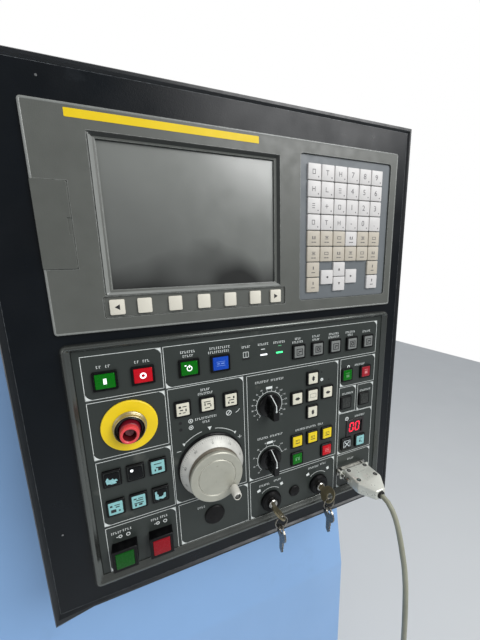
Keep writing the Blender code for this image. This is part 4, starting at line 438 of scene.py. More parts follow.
soft_lamp("roof_lamp", (1.15, -1.75, 2.75), (0, -0.1, 1.25), 1.7, 53)
soft_lamp("left_lamp", (-2, -1.6, 1.8), (0, 0, 1.1), 1.4, 6)
floor_form = bmesh.new()
bmesh.ops.create_grid(floor_form, x_segments=1, y_segments=1, size=FLOOR_SIDE / 2)
floor_mesh = bpy.data.meshes.new("floor")
floor_form.to_mesh(floor_mesh)
floor_form.free()
floor_mesh.materials.append(finish("pale_floor", (228, 229, 228), 0.7, mottle=0.01, patch=0.4))
floor_object = bpy.data.objects.new("floor", floor_mesh)
scene.collection.objects.link(floor_object)

# Guard: folded steel sheet in light blue enamel, dusty and a little cloudy; the rear cover is
# screwed on, and the base is black tube on levelling feet.
guard_enamel = finish("blue_enamel", (136, 174, 218), 0.42, mottle=0.05, patch=0.22, grain=0.05,
                      grain_size=0.0016, coat=0.12, dirt=(118, 148, 184), dirt_share=0.08,
                      edge_colour=(160, 188, 218), edge_width=0.0012)
dress(guard_enamel, "guard_shell", "rear_cover")
dress(finish("base_black", (30, 31, 33), 0.6, mottle=0.2, patch=0.06, grain=0.2, grain_size=0.0015,
             dirt=(90, 86, 78), dirt_share=0.10), "plinth")

# Console box: steel sheet in near-black satin enamel, with a rubber moulding round its front edge.
# The control unit's rack, the circuit board and the encoder sit inside it.
# The enamel's lighter edge colour is partly wear and partly a painted highlight along the box's edges.
console_enamel = finish("console_enamel", (9, 14, 19), 0.32, mottle=0.16, patch=0.06, grain=0.16,
                        grain_size=0.0012, specular=0.20, dirt=(34, 38, 42), dirt_share=0.05,
                        edge_colour=(120, 124, 127), edge_width=0.0010)
dress(console_enamel, "console_housing")
dress(finish("edge_moulding", (18, 22, 26), 0.36, mottle=0.15, grain=0.12, specular=0.4),
      "edge_trim")
dress(finish("zinc_sheet", (150, 151, 150), 0.42, metallic=0.9, patch=0.02, mottle=0.12),
      "control_rack", "handwheel_encoder")
dress(finish("board_lacquer", (28, 92, 58), 0.45, patch=0.008, mottle=0.15), "io_board")
screw_form = bmesh.new()
for right, down in ((-21, 398), (15, -17)):
    spin(screw_form, (right, down, -3), [(0, -0.3), (1, -0.3), (1, 0.2), (0.7, 0.5), (0, 0.6)], 16)
solid("box_screws", screw_form, finish("dull_screw", (120, 122, 122), 0.4, metallic=0.6))

# Control unit: moulded grey front with a sunk screen, a card flap, a row of screen keys and a key
# field. The bezel, flap and glass are the CAD parts with their own finishes; the glass carries a painted
# reflection, paler toward its upper right, and is darker along its lower edge.
# The bezel's lighter edge colour is partly wear and partly a painted highlight along its edges.
bezel_plastic = finish("bezel_plastic", (84, 86, 81), 0.44, mottle=0.05, grain=0.20,
                       grain_size=0.0008, edge_colour=(168, 170, 166), edge_width=0.0009)
dress(bezel_plastic, "cnc_bezel")
dress(finish("flap_plastic", (80, 82, 77), 0.44, mottle=0.05, grain=0.20, grain_size=0.0008,
             edge_colour=(112, 114, 109)), "card_door")
screen_low, screen_high = (Vector(corner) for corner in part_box("lcd_screen"))
glass, wires, inputs = new_material("glass_painted_reflection")
wires.join(0.6, inputs["Specular IOR Level"])
from_middle = wires.maths("SUBTRACT", wires.add("ShaderNodeTexCoord").outputs["Object"],
                          (screen_low + screen_high) / 2, kind="ShaderNodeVectorMath", result="Vector")


def along(direction):
    """How far a point of the glass lies from its middle in a direction."""
    return wires.maths("DOT_PRODUCT", from_middle, direction, kind="ShaderNodeVectorMath")


# Painted reflection: the glass is paler toward its upper right, and darker in a ragged band along its lower
# edge.
slope = along((0.40 / (screen_high.x - screen_low.x), 0, 0.62 / (screen_high.z - screen_low.z)))
reflection_share = wires.maths("ADD", slope, wires.ranged(wires.noise(0.07, 3), 0.3, 0.7, -0.05, 0.05))
painted_reflection = wires.mixed(wires.ranged(reflection_share, -0.5, 0.5), shade(70, 72, 70), shade(136, 138, 133))
lower_band_share = wires.maths("ADD", along((-0.06, 0, 1)),
                     wires.ranged(wires.noise(0.060, 1), 0.35, 0.65, -0.014, 0.014))
wires.join(wires.mixed(wires.ranged(lower_band_share, -0.064, -0.030), shade(38, 39, 38), painted_reflection), inputs["Base Color"])
wires.join(wires.ranged(wires.noise(0.02, 4), 0.3, 0.7, 0.16, 0.26), inputs["Roughness"])
dress(glass, "lcd_screen")


def framed(form, box, widths, profile, corner, steps=5):
    """Mitred frame round a box (left, top, width, height); the profile is (share of the side, out)."""
    left, top, width, height = box
    side_l, side_r, head, sill = widths
    sections = []
    for share, out in profile:
        x0, x1 = left + share * side_l, left + width - share * side_r
        z0, z1 = top + share * head, top + height - share * sill
        radius = max(corner * (1 - share), 0.3)
        outline = oblong(x1 - x0, z1 - z0, radius, steps, ((x0 + x1) / 2, -(z0 + z1) / 2))
        sections.append((outline, out))
    stack(form, (0, 0, 0), sections, loop=True)


LIP_BOX = (46.5, 19.6, 182.4, 138)
lip_form = bmesh.new()
framed(lip_form, LIP_BOX, (5.6, 5.6, 4.4, 4.6), [(0, -0.5), (0, 0.25), (0.04, 0.3), (0.12, 0),
                                                 (0.92, -3.9), (1, -4.6), (1, -5), (0.6, -4.4)], 2)
# The lip's left and bottom sides take a light copy of its plastic and its right and top sides a dark one:
# painted highlight and painted shade.
left, top, width, height = LIP_BOX
for face in lip_form.faces:
    spot = (face.calc_center_median() - UNIT_CORNER) / MM
    nearest = min((spot.x - left, 0), (top + height + spot.z, 0), (left + width - spot.x, 1),
                  (-spot.z - top, 1))
    face.material_index = nearest[1]
solid("screen_lip", lip_form,
      finish("lip_painted_highlight", (128, 130, 126), 0.34, mottle=0.05, patch=0.02, grain=0.12),
      finish("lip_painted_shade", (48, 50, 48), 0.5, mottle=0.05, grain=0.12, specular=0.3))
# A lighter bead round the bezel's front edge: a painted highlight along it.
edge_form = bmesh.new()
framed(edge_form, (0.1, 0.1, 399.8, 191.8), (2.2, 2.2, 2.2, 2.2),
       [(0, -1.6), (0, -0.5), (0.18, 0.05), (0.5, 0.28), (0.85, 0.12), (1, -0.1)], 3)
solid("bezel_edge", edge_form, finish("painted_edge_highlight", (126, 128, 124), 0.26, mottle=0.08, patch=0.006),
      smooth=60)
strip_form = bmesh.new()
prism(strip_form, (118, 7.6), oblong(174, 6.7, 0.6), 0, 0.18)
solid("yellow_strip", strip_form,
      finish("yellow_film", (226, 194, 22), 0.42, mottle=0.03, patch=0.02, specular=0.25))


# Key field and screen keys: moulded keys with soft crowns over straight sides, each in its place on
# a sunk grey bed. A small Geometry Nodes tree sets one unit key on all its places.
def copying_tree():
    """Sets a unit on points, each copy turned about the out axis by its point's angle, in one finish."""
    tree = bpy.data.node_groups.new("set_on_places", "GeometryNodeTree")
    for socket_name, kind in (("Places", "Geometry"), ("Unit", "Object"), ("Finish", "Material")):
        tree.interface.new_socket(socket_name, in_out="INPUT", socket_type="NodeSocket" + kind)
    tree.interface.new_socket("Pieces", in_out="OUTPUT", socket_type="NodeSocketGeometry")
    links = Wiring(tree)
    given = links.add("NodeGroupInput").outputs
    unit = links.add("GeometryNodeObjectInfo")
    angle = links.add("GeometryNodeInputNamedAttribute", data_type="FLOAT")
    turn = links.add("ShaderNodeCombineXYZ")
    rotation = links.add("FunctionNodeEulerToRotation")
    setting = links.add("GeometryNodeInstanceOnPoints")
    real = links.add("GeometryNodeRealizeInstances")
    painted = links.add("GeometryNodeSetMaterial")
    for source, target in (("angle", angle.inputs["Name"]), (angle.outputs["Attribute"], turn.inputs["Y"]),
                           (turn.outputs[0], rotation.inputs[0]), (given["Unit"], unit.inputs["Object"]),
                           (given["Places"], setting.inputs["Points"]),
                           (unit.outputs["Geometry"], setting.inputs["Instance"]),
                           (rotation.outputs[0], setting.inputs["Rotation"]),
                           (setting.outputs["Instances"], real.inputs["Geometry"]),
                           (real.outputs["Geometry"], painted.inputs["Geometry"]),
                           (given["Finish"], painted.inputs["Material"]),
                           (painted.outputs["Geometry"], links.add("NodeGroupOutput").inputs["Pieces"])):
        links.join(source, target)
    return tree


COPYING = copying_tree()


def repeated(name, build, material, places, angles=None, body="station"):
    """Plain mesh piece: a unit, made by build() about the origin, set on (right, down) places; angles
    in degrees run clockwise."""
    form = bmesh.new()
    build(form)
    unit_mesh = mesh_of(name + "_unit", form)
    unit_mesh.transform(Matrix.Translation(-place(0, 0)))
    unit = bpy.data.objects.new(name + "_unit", unit_mesh)
    points = bpy.data.meshes.new(name + "_places")
    points.from_pydata([place(*spot) for spot in places], [], [])
    turns = [math.radians(angle) for angle in angles or [0] * len(places)]
    points.attributes.new("angle", "FLOAT", "POINT").data.foreach_set("value", turns)
    carrier = bpy.data.objects.new(name + "_carrier", points)
    for helper in (unit, carrier):
        scene.collection.objects.link(helper)
    modifier = carrier.modifiers.new("tree", "NODES")
    modifier.node_group = COPYING
    inputs = {"Unit": unit, "Finish": material}
    for socket in COPYING.interface.items_tree:
        if socket.name in inputs:
            modifier[socket.identifier] = inputs[socket.name]
    bpy.context.view_layer.update()
    graph = bpy.context.evaluated_depsgraph_get()
    mesh = bpy.data.meshes.new_from_object(carrier.evaluated_get(graph))
    mesh.name = name
    mesh.attributes.remove(mesh.attributes["angle"])
    for helper in (carrier, unit):
        bpy.data.objects.remove(helper)
    riding(name, mesh, body)


BED_REACH = (-2.6, -1.7)
KEY_FOOT = -1.9
KEY_TOP = 0.6


def key_form(width, height, crown, corner):
    """Key with straight sides and a soft crown of the given depth."""
    rows = [(width, height, corner, KEY_FOOT), (width, height, corner, KEY_TOP - crown),
            (width - crown * 0.6, height - crown * 0.6, corner, KEY_TOP - crown * 0.3),
            (width - crown * 1.8, height - crown * 1.8, corner, KEY_TOP)]
    return lambda form: slabs(form, (0, 0), rows)


FIELD_COLUMNS = [273.9 + 18.5 * i for i in range(6)]
FIELD_ROWS = [31.6 + 18.25 * i for i in range(8)]
CURSOR = [(312.3, 141.4), (312.8, 159.4), (294.3, 150.6), (331.4, 150.6)]
SOFT_KEYS = [54.4, 79.2, 108.8, 138.5, 167.8, 197.5, 223.1]
SOFT_DOWN = 169.4
white_plastic = finish("white_key", (203, 200, 197), 0.42, mottle=0.03, patch=0.02, grain=0.08)
beige_plastic = finish("beige_key", (183, 175, 160), 0.45, mottle=0.04, patch=0.02, grain=0.08)
mark_ink = finish("key_ink", (86, 84, 86), 0.5, mottle=0.05)
dark_ink = finish("dark_ink", (30, 30, 32), 0.5, mottle=0.05)
bed_form = bmesh.new()
prism(bed_form, (322.25, 95.25), oblong(132.7, 162.7, 3), *BED_REACH)
key_bed = solid("key_field_bed", bed_form,
                finish("bed_plastic", (98, 103, 106), 0.5, mottle=0.05, grain=0.15))
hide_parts("mdi_keypad")
lone_white = (FIELD_COLUMNS[3], FIELD_ROWS[4])
last_white = (FIELD_COLUMNS[5], FIELD_ROWS[7])
white_spots = [(x, z) for z in FIELD_ROWS[:4] for x in FIELD_COLUMNS] + [lone_white, last_white] + CURSOR
low_beige = [(FIELD_COLUMNS[0], FIELD_ROWS[6]), (FIELD_COLUMNS[0], FIELD_ROWS[7]),
             (FIELD_COLUMNS[5], FIELD_ROWS[6])]
beige_spots = [(x, z) for z in FIELD_ROWS[4:6] for x in FIELD_COLUMNS if (x, z) != lone_white] + low_beige
field_key = key_form(17.4, 17.2, 0.5, 0.9)
repeated("white_keys", field_key, white_plastic, white_spots)
repeated("beige_keys", field_key, beige_plastic, beige_spots)
soft_bed_form = bmesh.new()
prism(soft_bed_form, (139.5, 169.05), oblong(192.2, 19.7, 2), *BED_REACH)
soft_bed = solid("screen_key_bed", soft_bed_form, bezel_plastic)
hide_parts("soft_key_strip")
repeated("screen_keys", key_form(13.4, 14.6, 0.6, 1.2),
         finish("ivory_key", (212, 207, 192), 0.4, mottle=0.03), [(x, SOFT_DOWN) for x in SOFT_KEYS])
PRINT_ROOT = -0.02
PRINT_RISE = 0.06


def ink_bar(form, middle, width, height, base, index=0, rise=PRINT_RISE):
    """Thin printed bar that stands a hair proud of its base."""
    prism(form, (*middle, base), oblong(width, height), PRINT_ROOT, rise, index)


def figure_mesh(text, tall):
    """One figure or number as a thin mesh about the origin, in its own plane."""
    curve = bpy.data.curves.new("figure", "FONT")
    curve.body = text
    curve.size = tall * 1.4 * MM
    curve.align_x, curve.align_y = "CENTER", "CENTER"
    curve.extrude = 0.03 * MM
    curve.resolution_u = 4
    holder = bpy.data.objects.new("figure", curve)
    scene.collection.objects.link(holder)
    bpy.context.view_layer.update()
    mesh = bpy.data.meshes.new_from_object(holder.evaluated_get(bpy.context.evaluated_depsgraph_get()))
    bpy.data.objects.remove(holder)
    return mesh


def ink_figures(name, items, base, material):
    """Plain figures; items are (text, right, down, cap height)."""
    form = bmesh.new()
    for text, right, down, tall in items:
        mesh = figure_mesh(text, tall)
        mesh.transform(Matrix.Translation(place(right, down, base)) @ Matrix.Rotation(math.pi / 2, 4, "X"))
        form.from_mesh(mesh)
        bpy.data.meshes.remove(mesh)
    return solid(name, form, material)


def turned(outline, angle):
    """Outline turned about its middle."""
    c, s = math.cos(angle), math.sin(angle)
    return [(x * c - z * s, x * s + z * c) for x, z in outline]


def arrow(form, middle, base, length, wide, angle, index=0, rise=PRINT_RISE):
    """Filled arrow head; angle 0 points up."""
    points = [(0, length / 2), (-wide / 2, -length / 2), (wide / 2, -length / 2)]
    prism(form, (*middle, base), turned(points, angle), PRINT_ROOT, rise, index)


KEY_SIGNS = [[(0, 2.2, 3.6, 0.5), (0, -2.4, 3.6, 0.5), (-1.7, -0.1, 0.5, 4.6), (1.7, -0.1, 0.5, 4.6)],
             [(0, 2.2, 4, 0.5), (0, -0.2, 0.5, 5)],
             [(-1.7, -0.1, 0.5, 5), (0, 0, 3.4, 0.5), (1.7, -0.1, 0.5, 5)],
             [(-1.7, -0.1, 0.5, 5), (0, -2.4, 3.6, 0.5)],
             [(0, 2.2, 3.6, 0.5), (0, 0, 3.6, 0.5), (0, -2.4, 3.6, 0.5)],
             [(0, 0, 4.4, 0.5), (0, 0, 0.5, 4.6)]]
WIDE_SIGNS = [[(0, 2.2, 5.4, 0.4), (0, -0.6, 5.4, 0.4), (-2.6, 0.8, 0.4, 3.2), (2.6, 0.8, 0.4, 3.2)],
              [(-1.6, 1.2, 1.2, 2.4), (1.6, 1.2, 1.2, 2.4), (0, -0.6, 5, 0.4)],
              [(0, 2.4, 5, 0.4), (0, 1, 3.2, 0.9), (0, -0.6, 5, 0.4)]]
ink_form = bmesh.new()
for row, z in enumerate(FIELD_ROWS[:6]):
    for column, x in enumerate(FIELD_COLUMNS):
        if row < 4:
            ink_bar(ink_form, (x + 5.2, z + 5.2), 1.3, 1.4, KEY_TOP)
            strokes = KEY_SIGNS[(row * 2 + column) % 6] if column < 3 else []
        else:
            strokes = WIDE_SIGNS[(row + column) % 3] + [(-1.8, -4.4, 2.6, 0.8), (1.6, -4.4, 3, 0.8)]
        for dx, dz, wide, tall in strokes:
            ink_bar(ink_form, (x + dx - (1 if row < 4 else 0), z - dz), wide + 0.2, tall + 0.2, KEY_TOP)
for x, z in low_beige + [last_white]:
    ink_bar(ink_form, (x, z + 3.4), 5, 0.9, KEY_TOP)
    ink_bar(ink_form, (x, z - 2), 1.4, 3.6, KEY_TOP)
solid("key_marks", ink_form, mark_ink)
FIGURE_KEYS = ["789", "456", "123", "-0."]
ink_figures("key_figures", [(figure, FIELD_COLUMNS[3 + i] - 1, FIELD_ROWS[row], 6.4)
                            for row, line in enumerate(FIGURE_KEYS) for i, figure in enumerate(line)],
            KEY_TOP + 0.02, mark_ink)
cursor_form = bmesh.new()
for spot, angle in zip(CURSOR, (0, math.pi, math.pi / 2, -math.pi / 2)):
    arrow(cursor_form, spot, KEY_TOP, 3.4, 3, angle)
for right, angle in ((SOFT_KEYS[0], math.pi / 2), (SOFT_KEYS[-1], -math.pi / 2)):
    arrow(cursor_form, (right, SOFT_DOWN), KEY_TOP, 4.6, 5.4, angle)
solid("cursor_marks", cursor_form, dark_ink)

# Operator panel: a sheet with a dark textured front film inside a rounded grey moulding. The black
# button housings snap into it, and every key stands in one of them.
panel_film = finish("panel_film", (46, 51, 48), 0.44, patch=0.05, grain=0.14, grain_size=0.0007,
                    specular=0.35, dirt=(84, 86, 80), dirt_share=0.05)
dress(panel_film, "operator_panel")
moulding_form = bmesh.new()
framed(moulding_form, (1.5, 201.2, 397, 272.5), (8.6, 8.6, 7.1, 13.1),
       [(0, -2.9), (0, -0.3), (0.05, 0.7), (0.16, 2), (0.30, 3.3), (0.42, 3.9), (0.55, 3.7), (0.68, 2.6),
        (0.82, 1.2), (0.93, 0.5), (1, -0.2), (1, -2.9)], 6)
moulding = solid("panel_moulding", moulding_form,
                 finish("grey_moulding", (98, 101, 98), 0.22, metallic=0.85, patch=0.05,
                        grain=0.05, edge_colour=(176, 178, 174)), smooth=50)
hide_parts("panel_frame")
black_plastic = finish("black_housing", (4, 4, 5), 0.34, mottle=0.1, patch=0.01, grain=0.08, specular=0.18,
                       dirt=(24, 23, 22), dirt_share=0.05, edge_colour=(58, 58, 58), edge_width=0.0004)
JOG = (276.2, 303.4)
JOG_STEP = 23.6
MODES = [(253.2 + 23.8 * i, 364.4) for i in range(3)]
SPINDLE_START = (253.2, 390.3)
SPINDLE_STOP = (300.8, 390.3)
OPTIONS = [(254.9 + 27.7 * i, 241) for i in range(5)]
RAPIDS = [(107.7 + 27.7 * i, 285.9) for i in range(3)]
CHUCKS = [(30.6 + 22.9 * i, 346.5 + 35 * row) for row in range(2) for i in range(3)]
COOLANTS = [(332.1, 284.9), (364.2, 284.9)]
SPARES = [(332.1, 325.9), (364.2, 325.9)]
TOOLS = [(335.75, 391.2), (360.55, 391.2)]
JOGS = [(JOG[0], JOG[1] - JOG_STEP), (JOG[0], JOG[1] + JOG_STEP), (JOG[0] - JOG_STEP, JOG[1]),
        (JOG[0] + JOG_STEP, JOG[1]), JOG]
WIDES = [(36, 240.2), (71, 240.2), (117.9, 240.2), (152.9, 240.2)]
TALLS = [(34.4, 439.3), (72.6, 439.3)]
SMALL_CAP = (14, 14.5)
WIDE_CAP = (18, 15)
TALL_CAP = (18.4, 18.5)
HOUSING_FOOT = -0.95


def surround(width, height, cap, rise):
    """Button housing: a rounded black collar with a sloping inner edge."""
    wide, tall = cap
    rows = [(width, height, 1, HOUSING_FOOT), (width, height, 1, rise - 0.6),
            (width - 0.9, height - 0.9, 1, rise), (wide + 1, tall + 1, 0.5, rise),
            (wide + 0.3, tall + 0.3, 0.4, rise - 0.6), (wide + 0.3, tall + 0.3, 0.4, HOUSING_FOOT)]
    return lambda form: slabs(form, (0, 0), rows, loop=True)


repeated("small_button_housings", surround(18.2, 18.7, SMALL_CAP, 1.60), black_plastic,
         JOGS + MODES + [SPINDLE_START, SPINDLE_STOP] + OPTIONS + RAPIDS + CHUCKS + COOLANTS + SPARES + TOOLS)
repeated("wide_button_housings", surround(22.6, 19.6, WIDE_CAP, 1.65), black_plastic, WIDES)
repeated("tall_button_housings", surround(25.6, 25.7, TALL_CAP, 10.4), black_plastic, TALLS)


# Button caps: translucent moulded caps with a soft crown, coloured through, with marks printed on
# them; each slides in its housing.
SMALL_TOP = 2
TALL_TOP = 10.8
CAP_LOW = -2.6


def cap_body(form, middle, size, top, low):
    width, height = size
    slabs(form, middle, [(width - 0.1, height - 0.1, 0.7, low), (width - 0.1, height - 0.1, 0.7, top - 0.55),
                         (width - 0.7, height - 0.7, 0.8, top - 0.12), (width - 1.8, height - 1.8, 0.9, top)])


def ring(outer, inner, right=0, down=0):
    """Mark: a ring about the cap's middle or beside it."""
    profile = [(inner, PRINT_ROOT), (outer, PRINT_ROOT), (outer, PRINT_RISE), (inner, PRINT_RISE)]
    return lambda form, middle, top: spin(form, (middle[0] + right, middle[1] + down, top), profile, 24, 1)


def bars(*items, lift=0):
    """Mark: (right, up, width, height) bars about the cap's middle."""
    def draw(form, middle, top):
        for right, up, wide, tall in items:
            ink_bar(form, (middle[0] + right, middle[1] - up), wide, tall, top + lift, 1)
    return draw


def blot(outline, rise=PRINT_RISE):
    """Mark: a patch of any outline about the cap's middle."""
    return lambda form, middle, top: prism(form, (*middle, top), outline, PRINT_ROOT, rise, 1)


def double_arrow(angle):
    """Mark: a short bar with an arrow head at both ends."""
    def draw(form, middle, top):
        across = angle in (math.pi / 2, -math.pi / 2)
        ink_bar(form, middle, *((2.2, 3) if across else (3, 2.2)), top, 1)
        for end in (angle, angle + math.pi):
            spot = (middle[0] - 2.2 * math.sin(end), middle[1] - 2.2 * math.cos(end))
            arrow(form, spot, top, 3.2, 5, end, 1, PRINT_RISE + 0.01)
    return draw


def cap_paint(name, colour):
    return finish(name, colour, 0.26, mottle=0.05, patch=0.006, grain=0.04, grain_size=0.0007, specular=0.2)


def glowing(name, colour, strength):
    """Lit lamp, mark or segment under a clear window."""
    material, wires, inputs = new_material(name)
    for value, socket in ((shade(*colour), "Base Color"), (shade(*colour), "Emission Color"),
                          (strength, "Emission Strength"), (0.3, "Roughness")):
        wires.join(value, inputs[socket])
    return material


ivory_cap = cap_paint("ivory_cap", (214, 210, 192))
green_cap = cap_paint("green_cap", (2, 102, 10))
red_cap = cap_paint("red_cap", (188, 12, 28))
yellow_cap = cap_paint("yellow_cap", (228, 200, 40))
blue_cap = cap_paint("blue_cap", (22, 70, 172))
cyan_cap = cap_paint("cyan_cap", (138, 190, 190))
smoked_cap = cap_paint("smoked_cap", (6, 7, 9))
lit_white = glowing("lit_mark", (245, 248, 250), 0.9)


def sliding_cap(node, middle, paint, *marks, ink=dark_ink, size=SMALL_CAP, top=SMALL_TOP):
    """Cap of one switch: it takes the place of its node and slides with it."""
    form = bmesh.new()
    cap_body(form, middle, size, top, CAP_LOW)
    for mark in marks:
        mark(form, middle, top)
    piece = solid(node.replace("button", "cap"), form, paint, ink, body=node)
    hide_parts(node)


for node, middle, angle in (("jog_up_button", JOGS[0], 0), ("jog_down_button", JOGS[1], math.pi),
                            ("jog_left_button", JOGS[2], math.pi / 2),
                            ("jog_right_button", JOGS[3], -math.pi / 2)):
    sliding_cap(node, middle, ivory_cap, double_arrow(angle))
sliding_cap("jog_rapid_button", JOGS[4], ivory_cap,
            bars((0, 2.6, 8.6, 0.35), (0, -2.6, 8.6, 0.35), (-4.2, 0, 0.35, 5.4), (4.2, 0, 0.35, 5.4)),
            ink=mark_ink)
for node, middle in zip(("mode_low_button", "mode_middle_button", "mode_high_button"), MODES):
    sliding_cap(node, middle, yellow_cap,
                bars((0, 2, 6.4, 0.7), (-1.6, 0.2, 3, 0.7), (0, -2.4, 6.4, 1.1), (2.6, 0.2, 1.2, 0.7)))
sliding_cap("spindle_start_button", SPINDLE_START, green_cap,
            bars((0, 2, 6.8, 0.8), (-2.2, -0.6, 1.8, 2.6), (2, -0.6, 1.8, 2.6)),
            ink=finish("pale_green_ink", (110, 160, 116), 0.5))
sliding_cap("spindle_stop_button", SPINDLE_STOP, red_cap,
            bars((0, 2.2, 6.4, 0.7), (0, 0, 6.4, 1.2), (0, -2.4, 6.4, 0.7)),
            ink=finish("pale_red_ink", (206, 110, 112), 0.5))
sliding_cap("nc_on_button", WIDES[0], green_cap, bars((0, 0, 2.8, 5.6)), ink=lit_white, size=WIDE_CAP)
sliding_cap("nc_off_button", WIDES[1], red_cap, ring(3.2, 1.7), ink=lit_white, size=WIDE_CAP)
sliding_cap("machine_ready_button", WIDES[2], green_cap, ring(3, 2.2), bars((0, 2.2, 0.9, 3.2), lift=0.02),
            bars((-4, 3.4, 2, 1)), ink=lit_white, size=WIDE_CAP)
sliding_cap("alarm_reset_button", WIDES[3], blue_cap,
            bars((0, 2.2, 10, 0.4), (0, -2.4, 10, 0.4), (-2.6, 0, 3, 1), (2.2, 0, 4, 1)),
            ink=finish("pale_blue_ink", (118, 150, 214), 0.5), size=WIDE_CAP)
for node, middle, colour in (("cycle_start_button", TALLS[0], (0, 76, 8)),
                             ("feed_hold_button", TALLS[1], (136, 6, 22))):
    sliding_cap(node, middle, cap_paint(node.replace("button", "paint"), colour), size=TALL_CAP, top=TALL_TOP)

# Caps of the keys that don't slide here: each is laid over the panel's own moulding in its colour.
FIXED_TOP = SMALL_TOP + 0.15
FIXED_LOW = 1


def fixed_caps(name, spots, paint, ink=dark_ink, signs=()):
    """Caps of one colour; each sign is the list of one cap's marks."""
    form = bmesh.new()
    for number, middle in enumerate(spots):
        cap_body(form, middle, SMALL_CAP, FIXED_TOP, FIXED_LOW)
        for mark in signs[number] if signs else ():
            mark(form, middle, FIXED_TOP)
    solid(name, form, paint, ink)


option_frame = bars((0, 3.6, 8.8, 1), (0, -4, 8.8, 1), (-3.9, 0, 1, 7), (3.9, 0, 1, 7))
option_step = bars((0.6, 0.6, 4.4, 1.6), (-1.2, -1.6, 1.6, 1.6))
fixed_caps("option_caps", OPTIONS, cap_paint("grey_cap", (122, 124, 121)), dark_ink,
           [[option_frame, ring(2.6, 1.2) if number % 2 else option_step] for number in range(5)])
fixed_caps("rapid_caps", RAPIDS, ivory_cap, dark_ink,
           [[bars((-3.2, 3.2, 2.6, 2.2), (1.8, 3.4, 4.4, 1), (-1.6, -0.4, 3.4, 1.2), (3.2, -0.8, 1.4, 3),
                  (-3.4, -3.6, 2.2, 1.2), (1, -3.8, 3, 0.9))],
            [bars((-0.6, 3.8, 7.6, 1), (-3.2, 0.8, 1.2, 3.2), (1.2, 1, 4.2, 1.2), (3.4, -1.4, 1.2, 2.6),
                  (-0.6, -3.6, 5.8, 1))],
            [bars((-2.6, 3.4, 3.6, 1.2), (3.2, 3, 1.8, 2.8), (0.4, 0.2, 6.2, 1), (-3, -2.8, 1.6, 2.6),
                  (1.6, -3.4, 3.8, 1.2))]])
fixed_caps("dark_chuck_caps", [CHUCKS[0], CHUCKS[5]], smoked_cap,
           finish("cyan_ink", (140, 190, 192), 0.4, mottle=0.2, patch=0.003),
           [[blot([(-6, -0.4), (-4.6, 2.2), (-3.4, 2.4), (-2.8, 0.2), (-0.6, -0.2), (0.8, 1), (2.2, -1),
                   (4.2, -0.4), (5.4, -2.6), (3, -3.4), (4.2, -5.2), (-0.8, -5.6), (-3.2, -4.4),
                   (-5, -5)])],
            [blot([(-5.8, 5.2), (-3.6, 5.4), (-3.8, 2.6), (-2.2, 0.8), (-2.4, -1.6), (0.6, -2.2), (2.8, -0.8),
                   (3.4, 1.6), (5.6, 2), (5.4, -3.6), (2, -5.2), (-1.4, -4.2), (-3, -5.4),
                   (-5.6, -3.8)])]])
fixed_caps("dotted_cap", [CHUCKS[1]], smoked_cap, lit_white, [[ring(1.5, 0.2, -3.4, -3.8)]])
fixed_caps("chuck_caps", [CHUCKS[2], CHUCKS[3], CHUCKS[4]], cyan_cap, dark_ink,
           [[bars((0, 4.2, 8, 0.9), (0.8, -0.2, 6, 1.1), (2, -2.4, 4, 3.4), (-3, -3, 1.4, 2.4))],
            [bars((-4, 3.4, 2.4, 2), (1.8, 4, 5.4, 0.9), (2, 1.6, 3.8, 1.2), (-2.2, -2.4, 5, 3.6),
                  (3.6, -3.2, 1.8, 1.8))],
            [bars((-3.4, 4, 3, 1.4), (2.2, 4, 5, 0.9), (1, 1.7, 7.4, 1), (0, -1.3, 9.6, 1),
                  (-3.2, -3.6, 1.8, 2.6), (1.6, -3.6, 3.6, 2))]])
fixed_caps("coolant_on_cap", [COOLANTS[0]], green_cap, finish("mid_green_ink", (92, 138, 92), 0.5),
           [[bars((0, 3, 6, 0.7), (0, -1.2, 4.8, 3.6))]])
fixed_caps("coolant_off_cap", [COOLANTS[1]], cap_paint("dull_red_cap", (150, 34, 44)),
           finish("rose_ink", (204, 124, 126), 0.5), [[bars((0, 3.2, 6, 0.7), (0, -0.8, 4.8, 4))]])
fixed_caps("blank_caps", SPARES, cap_paint("blank_cap", (50, 52, 50)))
fixed_caps("tool_key_dark", [TOOLS[0]], smoked_cap, finish("white_ink", (206, 214, 214), 0.5),
           [[blot(turned(oblong(11.5, 1.2), 0.78)), blot(turned(oblong(11.5, 1.2), -0.78), PRINT_RISE + 0.01),
             bars((0, 5.6, 11, 0.8), (-5.6, 0, 0.8, 10), (5.6, 0, 0.8, 10))]])
fixed_caps("tool_key_cyan", [TOOLS[1]], cyan_cap, dark_ink,
           [[bars((0, 3.4, 5.6, 0.7), (-1, -0.8, 2.4, 3.6), (2.2, -2.4, 2, 1.2))]])

# Panel print: white screen-printed lines round each group of keys, square outside and round inside
# at two corners, with scales, small signs and rows of short strokes over the keys.
white_ink = finish("panel_ink", (218, 222, 218), 0.5, mottle=0.05, patch=0.01)
PRINT_BASE = -1
PANEL_RISE = 0.07
print_form = bmesh.new()


def printed_patch(outline, index=0):
    """Printed patch inside (right, down) points."""
    prism(print_form, (0, 0, PRINT_BASE), [(x, -z) for x, z in outline], PRINT_ROOT, PANEL_RISE, index)


def printed_path(points, wide=0.5, index=0):
    """Printed line of even width along a path of (right, down) points."""
    for (x0, z0), (x1, z1) in zip(points, points[1:]):
        length = math.hypot(x1 - x0, z1 - z0)
        nx, nz = -(z1 - z0) / length * wide / 2, (x1 - x0) / length * wide / 2
        printed_patch([(x0 + nx, z0 + nz), (x1 + nx, z1 + nz), (x1 - nx, z1 - nz), (x0 - nx, z0 - nz)], index)


def printed_ring(middle, outer, inner=0, index=0):
    profile = [(inner, PRINT_ROOT), (outer, PRINT_ROOT), (outer, PANEL_RISE), (inner, PANEL_RISE)]
    spin(print_form, (*middle, PRINT_BASE), profile, 22, index)


